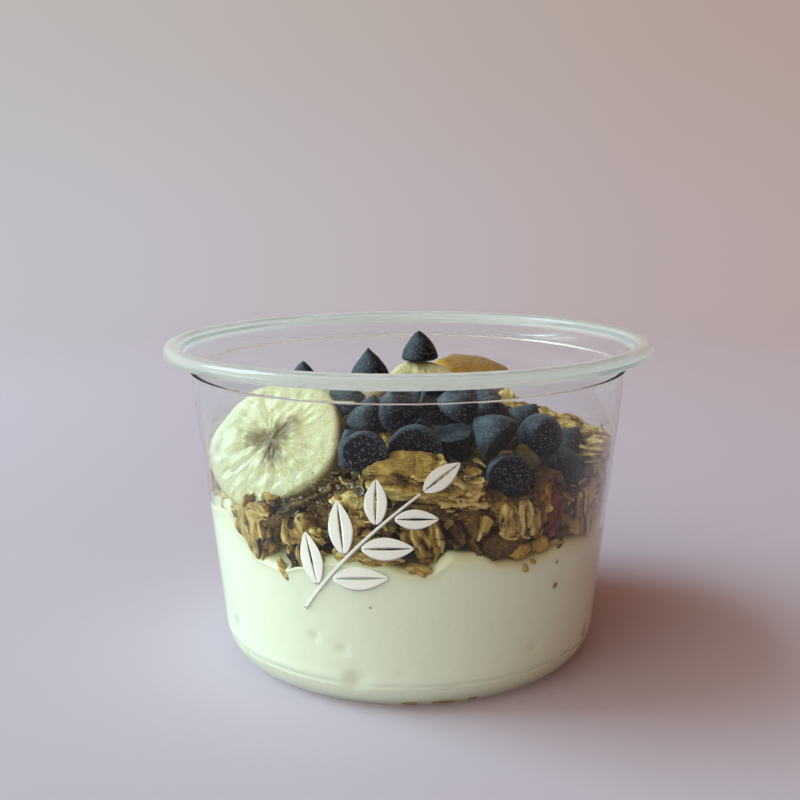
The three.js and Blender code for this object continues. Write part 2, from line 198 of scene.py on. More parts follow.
def keep_local(bm: Shape, shift: Vector) -> None:
    """Notes each vertex's present place as its place in its own piece.

    Args:
        bm: The shape.
        shift: Added to each place, so that no two pieces look the same.
    """
    layer = bm.verts.layers.float_vector.new(LOCAL)
    for vert in bm.verts:
        vert[layer] = vert.co + shift


def smoothed(bm: Shape) -> None:
    """Rounds a shape a little."""
    bmesh.ops.smooth_vert(bm, verts=bm.verts, factor=0.5, use_axis_x=True, use_axis_y=True, use_axis_z=True)


def mesh_of(bm: Shape, name: str) -> bpy.types.Mesh:
    """Makes a mesh out of a shape.

    Args:
        bm: The shape, which is used up.
        name: The mesh's name.

    Returns:
        The mesh.
    """
    mesh = bpy.data.meshes.new(name)
    bm.to_mesh(mesh)
    bm.free()
    return mesh


def in_scene(name: str, data: bpy.types.ID) -> bpy.types.Object:
    """Puts a mesh, a lamp or a camera into the scene.

    Args:
        name: The object's name.
        data: What it shows.

    Returns:
        The object.
    """
    thing = bpy.data.objects.new(name, data)
    bpy.context.scene.collection.objects.link(thing)
    return thing


def copy_of_node(name: str, voxel: float) -> Shape:
    """A rounded, evenly divided copy of a CAD node.

    Args:
        name: The node.
        voxel: The size of its new faces, in millimetres.

    Returns:
        The copy, in millimetres.
    """
    source = bmesh.new()
    source.from_mesh(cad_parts[name].data)
    bmesh.ops.remove_doubles(source, verts=source.verts, dist=1e-6)
    mesh = mesh_of(source, "copy")
    helper = in_scene("copy", mesh)
    remesh = helper.modifiers.new("even", "REMESH")
    remesh.mode = "VOXEL"
    remesh.voxel_size = voxel * MM
    graph = bpy.context.evaluated_depsgraph_get()
    result = helper.evaluated_get(graph).to_mesh()
    bm = bmesh.new()
    bm.from_mesh(result)
    bpy.data.objects.remove(helper)
    bpy.data.meshes.remove(mesh)
    bmesh.ops.scale(bm, vec=(1 / MM,) * 3, verts=bm.verts)
    smoothed(bm)
    return bm


def displaced(bm: Shape, offset: Callable[[Vector], float]) -> None:
    """Moves each vertex along its normal.

    Args:
        bm: The shape.
        offset: How far a vertex at a place goes.
    """
    bm.normal_update()
    moves = [vert.normal * offset(vert.co) for vert in bm.verts]
    for vert, move in zip(bm.verts, moves):
        vert.co += move


def finished(
    name: str,
    bm: Shape,
    material: Material,
    replaces: Sequence[str] = (),
    smooth: bool = True,
) -> None:
    """Makes a piece of the object out of a shape in millimetres, riding on the body.

    Args:
        name: The piece's name.
        bm: The shape, which is used up.
        material: Its finish.
        replaces: The CAD nodes that it stands for.
        smooth: Whether its faces are shaded smooth.
    """
    bmesh.ops.scale(bm, vec=(MM,) * 3, verts=bm.verts)
    for face in bm.faces:
        face.smooth = smooth
    mesh = mesh_of(bm, name)
    mesh.materials.append(material)
    piece = in_scene(name, mesh)
    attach(piece, BODY)
    if replaces:
        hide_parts(*replaces)
    log.info("%s: %d faces", name, len(mesh.polygons))


# --- shaders ---


def opaque(colour: Colour) -> tuple[float, float, float, float]:
    """A colour with its alpha."""
    return (*colour, 1.0)


def lit(colour: Colour, by: float) -> Colour:
    """A colour made lighter or darker."""
    return tuple(part * by for part in colour)


class Shader:
    """A material's node tree under construction."""

    def __init__(self, name: str) -> None:
        """Starts an empty tree.

        Args:
            name: The material's name.
        """
        self.material = bpy.data.materials.new(name)
        self.material.use_nodes = True
        self.tree = self.material.node_tree
        self.tree.nodes.clear()

    @classmethod
    def of_tree(cls, tree: bpy.types.NodeTree) -> "Shader":
        """Works on a tree that isn't a material's.

        Args:
            tree: The tree.

        Returns:
            What adds nodes to it.
        """
        shader = cls.__new__(cls)
        shader.tree = tree
        return shader

    def add(self, kind: str, inputs: Optional[dict] = None, **settings) -> bpy.types.Node:
        """Adds a node.

        Args:
            kind: The node's type without its ShaderNode prefix.
            inputs: Values or other nodes' outputs, by the name or number of the input.
            **settings: The node's own settings.

        Returns:
            The node.
        """
        node = self.tree.nodes.new("ShaderNode" + kind)
        for key, value in settings.items():
            setattr(node, key, value)
        for key, value in (inputs or {}).items():
            if isinstance(value, Socket):
                self.tree.links.new(value, node.inputs[key])
            else:
                node.inputs[key].default_value = value
        return node

    def place(self) -> Socket:
        """The place in the object's frame, in millimetres."""
        coordinates = self.add("TexCoord").outputs["Object"]
        return self.dimmed(coordinates, 1 / MM)

    def attribute(self, name: str, output: str = "Fac") -> Socket:
        """An attribute of the piece's vertices."""
        return self.add("Attribute", attribute_name=name).outputs[output]

    def math(self, operation: str, *values: Number, clamp: bool = False) -> Socket:
        """A sum, product or other function of one to three numbers."""
        return self.add("Math", dict(enumerate(values)), operation=operation, use_clamp=clamp).outputs[0]

    def times(self, *values: Number, clamp: bool = False) -> Socket:
        """The product of two numbers."""
        return self.math("MULTIPLY", *values, clamp=clamp)

    def plus(self, *values: Number) -> Socket:
        """The sum of two numbers."""
        return self.math("ADD", *values)

    def most(self, *values: Number) -> Socket:
        """The larger of two numbers."""
        return self.math("MAXIMUM", *values)

    def dimmed(self, vector: Socket | Colour, by: Number) -> Socket:
        """A vector or a colour times a number."""
        return self.add("VectorMath", {0: vector, 3: by}, operation="SCALE").outputs[0]

    def scaled(self, vector: Socket, by: Sequence[float]) -> Socket:
        """A vector with each part multiplied."""
        return self.add("VectorMath", {0: vector, 1: tuple(by)}, operation="MULTIPLY").outputs[0]

    def noise(self, vector: Socket, scale: float, detail: float = 4, rough: float = 0.55) -> Socket:
        """Noise around one half, with the given number of waves per unit."""
        inputs = {"Vector": vector, "Scale": scale, "Detail": detail, "Roughness": rough}
        return self.add("TexNoise", inputs).outputs["Fac"]

    def stretch(
        self, value: Socket, low: float, high: float, to_low: float = 0.0, to_high: float = 1.0
    ) -> Socket:
        """A number brought softly from one range to another."""
        inputs = {0: value, 1: low, 2: high, 3: to_low, 4: to_high}
        return self.add("MapRange", inputs, interpolation_type="SMOOTHSTEP").outputs[0]

    def blend(
        self, share: Number, first: Socket | Colour, second: Socket | Colour, mode: str = "MIX"
    ) -> Socket:
        """Two colours mixed.

        Args:
            share: How much of the second there is, from 0 to 1.
            first: A colour.
            second: Another.
            mode: Blender's name for the way they are mixed.

        Returns:
            The mixed colour.
        """
        node = self.add("Mix", {0: share}, data_type="RGBA", blend_type=mode)
        for key, value in ((6, first), (7, second)):
            if isinstance(value, Socket):
                self.tree.links.new(value, node.inputs[key])
            else:
                node.inputs[key].default_value = opaque(value)
        return node.outputs[2]

    def spots(self, vector: Socket, scale: float, size: float, soft: float) -> Socket:
        """Round spots, 1 in their middles, with the given number of cells per unit."""
        cells = self.add("TexVoronoi", {"Vector": vector, "Scale": scale}, feature="F1")
        return self.stretch(cells.outputs["Distance"], size + soft, size)

    def mixed(self, share: Number, first: Socket, second: Socket) -> Socket:
        """Two surfaces mixed."""
        return self.add("MixShader", {0: share, 1: first, 2: second}).outputs[0]

    def bump(self, height: Socket, depth: float, normal: Optional[Socket] = None) -> Socket:
        """A normal bent by a height map.

        Args:
            height: The map, from 0 to 1.
            depth: The relief's depth in millimetres.
            normal: An earlier bump's normal, to add to.

        Returns:
            The bent normal.
        """
        inputs = {"Height": height, "Distance": depth * MM}
        if normal is not None:
            inputs["Normal"] = normal
        return self.add("Bump", inputs).outputs[0]

    def principled(self, **inputs) -> Socket:
        """The main shader.

        Args:
            **inputs: Its inputs, named with _ for a space.

        Returns:
            The surface.
        """
        named = {key.replace("_", " "): value for key, value in inputs.items()}
        for key in ("Base Color", "Specular Tint", "Sheen Tint"):
            if isinstance(named.get(key), tuple):
                named[key] = opaque(named[key])
        return self.add("BsdfPrincipled", named).outputs[0]

    def done(self, surface: Socket) -> Material:
        """Ends the tree with its surface and gives the material."""
        self.add("OutputMaterial", {"Surface": surface})
        return self.material


@dataclass(frozen=True)
class ClearPlastic:
    """Clear drawn plastic, with a faint haze and the waves that drawing leaves."""

    tint: Colour = (0.97, 0.99, 0.985)
    rim_tint: Colour = (0.93, 1.0, 0.99)
    clear: float = 0.998  # the share of light that the wall lets through unscattered
    clear_rim: float = 0.88
    milky_rim: float = 0.12  # the share of the rim that glows with the light behind it
    rim_start: float = 72.2
    rim_end: float = 73.4
    roughness: float = 0.03
    ior: float = 1.49
    wave_depth: float = 0.05
    mirror: float = 0.28  # how strongly it mirrors what lies straight before it
    neck_start: float = 69.3
    neck_end: float = 72.9
    neck_soft: float = 0.4
    neck_clear: float = 0.93  # the thin neck bends little light

    def build(self) -> Material:
        """Makes the material. Lamps shine straight through it, as they do through a thin wall.

        Returns:
            The material.
        """
        shader = Shader("clear_plastic")
        place = shader.place()
        waves = shader.noise(shader.scaled(place, (0.06, 0.06, 0.02)), 1.0, 2)
        height = shader.add("SeparateXYZ", {0: place}).outputs["Z"]
        rim = (height, self.rim_start, self.rim_end)
        glass = shader.principled(
            Base_Color=shader.blend(shader.stretch(*rim), self.tint, self.rim_tint),
            Roughness=self.roughness,
            IOR=self.ior,
            Specular_Tint=(self.mirror,) * 3,
            Transmission_Weight=shader.stretch(*rim, self.clear, self.clear_rim),
            Normal=shader.bump(waves, self.wave_depth),
        )
        milk = shader.add("BsdfTranslucent", {"Color": opaque(self.rim_tint)}).outputs[0]
        glass = shader.mixed(shader.stretch(*rim, 0.0, self.milky_rim), glass, milk)
        clear = shader.add("BsdfTransparent", {"Color": opaque(self.tint)}).outputs[0]
        path = shader.add("LightPath")
        lamps = shader.most(path.outputs["Is Shadow Ray"], path.outputs["Is Diffuse Ray"])
        over = shader.stretch(height, self.neck_start, self.neck_start + self.neck_soft)
        neck = shader.times(over, shader.stretch(height, self.neck_end, self.neck_end - self.neck_soft))
        lamps = shader.most(lamps, shader.times(neck, self.neck_clear))
        return shader.done(shader.mixed(lamps, glass, clear))


@dataclass(frozen=True)
class SetYogurt:
    """Thick yogurt: smooth, moist and a little see-through, with painted shade at its top edge, on its heel
    and where air is shut in.
    """

    body: Colour = (0.78, 0.86, 0.71)
    # painted shade: the darker, yellower colour of the top edge under the granola, of the heel below its
    # crease and of the air shut in against the wall
    edge: Colour = (0.74, 0.76, 0.50)
    roughness: float = 0.38

    def build(self) -> Material:
        """Makes the material.

        Returns:
            The material.
        """
        shader = Shader("yogurt")
        place = shader.place()
        mottle = shader.noise(place, 0.06, 3)
        pale = shader.blend(mottle, self.body, lit(self.body, 1.05))
        colour = shader.blend(shader.attribute(EDGE), pale, self.edge)
        curd = shader.noise(place, 0.35, 3)
        fine = shader.noise(place, 1.6, 2)
        normal = shader.bump(fine, 0.03, shader.bump(curd, 0.15))
        surface = shader.principled(
            Base_Color=colour,
            Roughness=self.roughness,
            Subsurface_Weight=0.4,
            Subsurface_Radius=(1.0, 0.8, 0.5),
            Subsurface_Scale=0.007,
            Normal=normal,
        )
        return shader.done(surface)


@dataclass(frozen=True)
class CutBanana:
    """Cut banana: cream flesh with fibres out from a browner, three-lobed core."""

    flesh: Colour = (0.70, 0.70, 0.42)
    # paler crystal specks, partly the flesh's own crystals and partly painted glints of wet spots
    frost_and_glint: Colour = (0.88, 0.90, 0.72)
    streak: Colour = (0.60, 0.53, 0.20)
    core: Colour = (0.20, 0.13, 0.03)
    # the side's own browning, together with painted shade on it
    side: Colour = (0.50, 0.43, 0.17)
    core_radius: float = 6.0
    roughness: float = 0.3
    wet: float = 0.4  # how strongly its juice shines

    def build(self) -> Material:
        """Makes the material, which follows each slice's own coordinates.

        Returns:
            The material.
        """
        shader = Shader("banana")
        local = shader.attribute(LOCAL, "Vector")
        x, y, _ = shader.add("SeparateXYZ", {0: local}).outputs
        radius = shader.math("SQRT", shader.plus(shader.times(x, x), shader.times(y, y)))
        angle = shader.math("ARCTAN2", y, x)
        rays = shader.add("CombineXYZ", {0: shader.times(angle, 5.5), 1: shader.times(radius, 0.16)})
        fibres = shader.noise(rays.outputs[0], 1.6, 5, 0.6)
        wobble = shader.noise(local, 0.4, 5, 0.65)
        lobes = shader.math("COSINE", shader.times(angle, 3.0))
        reach = shader.math("SUBTRACT", radius, shader.times(lobes, 2.0))
        ragged = shader.plus(reach, shader.times(wobble, 8.0))
        core = shader.stretch(ragged, self.core_radius + 4.8, self.core_radius + 0.6, 0.0, 0.9)
        near_core = shader.stretch(ragged, self.core_radius + 9.0, self.core_radius + 2.0)
        ring = shader.stretch(fibres, 0.48, 0.7)
        patch = shader.noise(local, 0.16, 3)
        patchy = shader.times(ring, shader.stretch(patch, 0.38, 0.6))
        stained = shader.most(patchy, shader.times(near_core, 0.55))
        # paler specks: the flesh's own crystals and painted glints
        crystals = shader.stretch(shader.noise(local, 2.4, 4, 0.7), 0.5, 0.68)
        frost_and_glints = shader.times(crystals, shader.stretch(patch, 0.62, 0.4))
        flesh = shader.blend(stained, shader.blend(frost_and_glints, self.flesh, self.frost_and_glint), self.streak)
        cored = shader.blend(core, flesh, self.core)
        colour = shader.blend(shader.attribute(EDGE), cored, self.side)
        pulp = shader.noise(local, 1.7, 5, 0.7)
        normal = shader.bump(pulp, 0.4, shader.bump(fibres, 0.5))
        surface = shader.principled(
            Base_Color=colour,
            Roughness=self.roughness,
            Subsurface_Weight=0.2,
            Subsurface_Radius=(1.0, 0.7, 0.3),
            Subsurface_Scale=0.003,
            Coat_Weight=self.wet,
            Coat_Roughness=0.16,
            Normal=normal,
        )
        return shader.done(surface)


@dataclass(frozen=True)
class DarkChocolate:
    """Dark chocolate with a faint grey bloom, dusty specks and rubbed edges, painted lighter on the side
    the window lights and with a painted highlight on the base's rim.
    """

    body: Colour = (0.0036, 0.0022, 0.0070)
    bloom_and_light: Colour = (0.060, 0.092, 0.122)
    dusty: Colour = (0.15, 0.15, 0.185)
    sheen: Colour = (0.55, 0.80, 1.0)
    roughness: float = 0.5

    def build(self) -> Material:
        """Makes the material.

        Returns:
            The material.
        """
        shader = Shader("dark_chocolate")
        place = shader.place()
        # bloom and painted light: lighter on the drops' upper, window side, by the tone attribute
        cloud = shader.stretch(shader.noise(place, 0.32, 4), 0.35, 0.7, 0.35, 1.0)
        cloud = shader.times(cloud, shader.attribute(TONE))
        specks = shader.stretch(shader.noise(place, 1.7, 2), 0.56, 0.70, 0.0, 0.55)
        # the base's rubbed rim, partly a painted highlight along it
        wear_and_highlight = shader.times(shader.attribute(EDGE), shader.stretch(shader.noise(place, 0.9, 3), 0.3, 0.6))
        dust = shader.times(shader.spots(place, 1.4, 0.20, 0.14), 0.75)
        bloom_and_light = shader.most(shader.most(cloud, specks), wear_and_highlight)
        grain = shader.noise(place, 2.2, 3)
        surface = shader.principled(
            Base_Color=shader.blend(dust, shader.blend(bloom_and_light, self.body, self.bloom_and_light), self.dusty),
            Roughness=self.roughness,
            Specular_IOR_Level=0.12,
            Sheen_Weight=0.10,
            Sheen_Roughness=0.35,
            Sheen_Tint=self.sheen,
            Normal=shader.bump(grain, 0.12),
        )
        return shader.done(surface)


@dataclass(frozen=True)
class BakedOats:
    """Baked oats: golden brown, paler on torn edges, with painted shade: lighter where the relief stands
    out, darker in hollows and nearly black in the gaps between layers and chunks.
    """

    name: str = "baked_oats"
    # painted shade: nearly black, in the gaps between layers and in hollows
    gap_shade: Colour = (0.036, 0.015, 0.003)
    dark: Colour = (0.19, 0.10, 0.019)
    golden: Colour = (0.46, 0.295, 0.062)
    pale: Colour = (0.77, 0.60, 0.235)
    flakes: float = 2.0  # for each layer of the relief
    roughness: float = 0.65

    def build(self) -> Material:
        """Makes the material. The tone attribute sets how light each flake is: its own tone together with
        painted shade.

        Returns:
            The material.
        """
        shader = Shader(self.name)
        place = shader.place()
        waver = shader.times(shader.noise(place, 0.7, 3), 1.6)
        level = shader.plus(shader.times(shader.attribute(LAYER), self.flakes), waver)
        step = shader.math("FRACT", level)
        patches = shader.stretch(shader.noise(place, 0.4, 3), 0.38, 0.58)
        ledge = shader.times(shader.stretch(step, 0.0, 0.45), patches)
        # painted shade in the gaps between layers
        gap_shade = shader.times(shader.stretch(step, 0.2, 0.02), patches)
        blotch = shader.noise(place, 0.5, 6, 0.7)
        tone = shader.plus(shader.attribute(TONE), shader.times(blotch, 0.9))
        low = shader.blend(shader.stretch(tone, 0.5, 0.88), self.dark, self.golden)
        colour = shader.blend(shader.stretch(tone, 0.88, 1.4), low, self.pale)
        # painted shade where the tone is low, in hollows
        deep = shader.stretch(tone, 0.58, 0.3)
        colour = shader.blend(shader.most(deep, shader.times(gap_shade, 0.6)), colour, self.gap_shade)
        husk = shader.noise(place, 1.8, 5, 0.75)
        normal = shader.bump(husk, 0.35, shader.bump(ledge, 0.3))
        surface = shader.principled(
            Base_Color=colour,
            Roughness=self.roughness,
            Specular_IOR_Level=0.3,
            Normal=normal,
        )
        return shader.done(surface)


@dataclass(frozen=True)
class DriedFruit:
    """Dried fruit: glossy, wrinkled and lit through where it is thin."""

    name: str
    body: Colour
    thin: Colour
    gloss: float = 0.3

    def build(self) -> Material:
        """Makes the material.

        Returns:
            The material.
        """
        shader = Shader(self.name)
        place = shader.place()
        wrinkle = shader.noise(shader.scaled(place, (1, 1, 0.5)), 0.8, 4, 0.6)
        colour = shader.blend(shader.stretch(wrinkle, 0.35, 0.7), self.body, self.thin)
        surface = shader.principled(
            Base_Color=colour,
            Roughness=self.gloss,
            Specular_IOR_Level=0.2,
            Subsurface_Weight=0.2,
            Subsurface_Radius=(1.0, 0.4, 0.1),
            Subsurface_Scale=0.002,
            Coat_Weight=0.12,
            Coat_Roughness=0.2,
            Normal=shader.bump(wrinkle, 0.5),
        )
        return shader.done(surface)


@dataclass(frozen=True)
class HoneyGlaze:
    """A thick amber glaze."""

    body: Colour = (0.27, 0.13, 0.0005)
    thin: Colour = (0.55, 0.42, 0.06)
    roughness: float = 0.4
    wet: float = 0.55  # how strongly its smooth skin shines

    def build(self) -> Material:
        """Makes the material.

        Returns:
            The material.
        """
        shader = Shader("honey_glaze")
        depth = shader.stretch(shader.attribute(EDGE), 0.0, 1.0)
        swirl = shader.noise(shader.place(), 0.22, 2)
        colour = shader.blend(shader.times(depth, swirl, clamp=True), self.body, self.thin)
        surface = shader.principled(
            Base_Color=colour,
            Roughness=self.roughness,
            Specular_IOR_Level=0.06,
            Subsurface_Weight=0.1,
            Subsurface_Radius=(1.0, 0.6, 0.1),
            Subsurface_Scale=0.003,
            Coat_Weight=self.wet,
            Coat_Roughness=0.06,
            Normal=shader.bump(shader.noise(shader.place(), 0.35, 3), 1.2),
        )
        return shader.done(surface)


@dataclass(frozen=True)
class WhiteInk:
    """Thin white ink."""

    body: Colour = (0.93, 0.98, 0.93)
    roughness: float = 0.4

    def build(self) -> Material:
        """Makes the material.

        Returns:
            The material.
        """
        shader = Shader("white_ink")
        mottle = shader.noise(shader.place(), 0.8, 3)
        colour = shader.blend(mottle, self.body, lit(self.body, 0.94))
        return shader.done(shader.principled(Base_Color=colour, Roughness=self.roughness))


@dataclass(frozen=True)
class Moisture:
    """Small clear drops of moisture."""

    tint: Colour = (0.98, 0.99, 0.97)
    roughness: float = 0.03
    ior: float = 1.34

    def build(self) -> Material:
        """Makes the material.

        Returns:
            The material.
        """
        shader = Shader("moisture")
        ripple = shader.noise(shader.place(), 0.9, 2)
        glass = shader.principled(
            Base_Color=self.tint,
            Roughness=self.roughness,
            IOR=self.ior,
            Transmission_Weight=1.0,
            Normal=shader.bump(ripple, 0.05),
        )
        clear = shader.add("BsdfTransparent").outputs[0]
        path = shader.add("LightPath")
        return shader.done(shader.mixed(path.outputs["Is Shadow Ray"], glass, clear))


# --- the cup ---


@dataclass
class Cup:
    """The clear cup: a straight drawn wall, a rounded heel, a shoulder and a rolled rim.

    The sizes are the CAD model's, in millimetres.
    """

    height: float = 76.0
    rim_radius: float = 58.5
    wall: float = 0.7
    foot_radius: float = 40.3
    foot_width: float = 7.5
    foot_recess: float = 0.6
    floor_thickness: float = 1.0
    heel_radius: float = 46.3
    heel_height: float = 8.6
    shoulder_radius: float = 52.2
    shoulder_height: float = 68.9
    neck_radius: float = 54.6
    skirt_depth: float = 3.0
    lip: float = 0.8
    shoulder_curve: float = 1.4  # how far the shoulder's rounding reaches out
    sides: int = 240

    # The heights of the outline's points up the wall, outside and inside.
    OUTER_STEPS = (14, 24, 36, 48, 60, 66.5, 68.2, 68.6)
    INNER_STEPS = (69.3, 68.6, 66.5, 60, 48, 36, 24, 14)
    # The neck's outline outside and inside: how far beyond the neck's radius, and the height.
    NECK_OUTSIDE = ((-0.7, 70.3), (-0.3, 71.0), (0.0, 71.8))
    NECK_INSIDE = ((0.15, 72.6), (-0.15, 71.6), (-0.4, 70.95), (-0.7, 70.55))

    @property
    def floor_top(self) -> float:
        """The height of the floor inside."""
        return self.foot_recess + self.floor_thickness

    def heel(self, height: float) -> float:
        """The radius of the heel's quarter round.

        Args:
            height: Above where it starts.

        Returns:
            The radius.
        """
        rise = 1 - max(height, 0.0) / self.heel_height
        reach = math.sqrt(max(1 - rise * rise, 0.0))
        return self.foot_radius + (self.heel_radius - self.foot_radius) * reach

    def outside(self, height: float) -> float:
        """The outer wall's radius at a height.

        Args:
            height: Above the foot.

        Returns:
            The radius.
        """
        if height < self.heel_height:
            return self.heel(height)
        straight = min(height, self.shoulder_height)
        slope = (self.shoulder_radius - self.heel_radius) / (self.shoulder_height - self.heel_height)
        return self.heel_radius + slope * (straight - self.heel_height)

    def inside(self, height: float) -> float:
        """The inner wall's radius at a height.

        Args:
            height: Above the foot.

        Returns:
            The radius.
        """
        if height < self.heel_height:
            return self.heel(height - self.foot_recess) - self.wall
        return self.outside(height) - self.wall

    def on_wall(self, azimuth: float, height: float, depth: float = 0.0) -> Vector:
        """A place on the inner wall or inwards from it, its azimuth in degrees."""
        return round_axis(self.inside(height) - depth, azimuth, height)

    def keep_in(self, place: Vector, bite: float = 0.0) -> None:
        """Brings a place that is outside the inner wall onto it.

        Args:
            place: Changed in place.
            bite: How far into the wall it may reach.
        """
        most = self.inside(place.z) + bite
        reach = reach_of(place)
        if reach > most:
            draw_in(place, most / reach)

    def press_soft(self, place: Vector, give: float) -> float:
        """Bends a place in, the more the nearer it comes to the wall.

        Args:
            place: Changed in place.
            give: How far from the wall the bend starts.

        Returns:
            How far the place moved.
        """
        most = self.inside(place.z) + 0.1
        reach = reach_of(place)
        room = (most - reach) / give
        kept = math.log1p(math.exp(room)) * give if room < 8 else most - reach
        moved = most - kept
        draw_in(place, moved / reach)
        return reach - moved

    def profile(self) -> Profile:
        """The section, from the axis under the foot round the rim to the axis on the floor.

        Returns:
            The section's points.
        """
        width = self.heel_radius - self.foot_radius
        skirt = self.height - self.skirt_depth
        ceiling = self.height - self.lip
        points = [
            (0.0, self.foot_recess),
            (self.foot_radius - self.foot_width - 0.8, self.foot_recess),
            (self.foot_radius - self.foot_width - 0.3, 0.35),
            (self.foot_radius - self.foot_width, 0.0),
        ]
        points += arc((self.foot_radius, self.heel_height), (width, self.heel_height), -90, 0, 22)
        points += [(self.outside(height), height) for height in self.OUTER_STEPS]
        curve = self.shoulder_curve
        points += arc((self.shoulder_radius + curve, 69.0), (curve, 0.8), 180, 100, 8)
        points += [(self.neck_radius + beyond, height) for beyond, height in self.NECK_OUTSIDE]
        points += [(self.neck_radius + 0.25, skirt), (self.neck_radius + 0.45, ceiling - 0.6)]
        points += arc((self.neck_radius + 1.25, ceiling - 0.7), (0.7, 0.7), 180, 90, 5)
        points += arc((self.rim_radius - self.lip - 0.9, ceiling - 0.7), (0.8, 0.7), 90, 0, 5)
        points += [(self.rim_radius - self.lip, skirt + 0.25)]
        points += arc((self.rim_radius - 0.4, skirt + 0.35), (0.4, 0.35), 180, 360, 6)
        points += arc((self.rim_radius - 1.7, self.height - 1.7), (1.7, 1.7), 0, 90, 9)
        points += arc((self.neck_radius + 1.3, self.height - 1.5), (1.5, 1.5), 90, 180, 8)
        neck = self.neck_radius - self.wall
        points += [(neck + beyond, height) for beyond, height in self.NECK_INSIDE]
        points += arc((self.shoulder_radius - self.wall + curve, 69.75), (curve, 0.75), 100, 180, 8)
        points += [(self.inside(height), height) for height in self.INNER_STEPS]
        centre = (self.foot_radius - self.wall, self.heel_height)
        points += arc(centre, (width, self.heel_height - self.floor_top), 0, -90, 16)
        points += [(self.foot_radius - self.foot_width, self.floor_top), (0.0, self.floor_top)]
        return points

    def build(self, material: Material) -> None:
        """Makes the cup."""
        finished("cup_clear", spun(self.profile(), self.sides), material, ["cup"])


# --- the yogurt ---


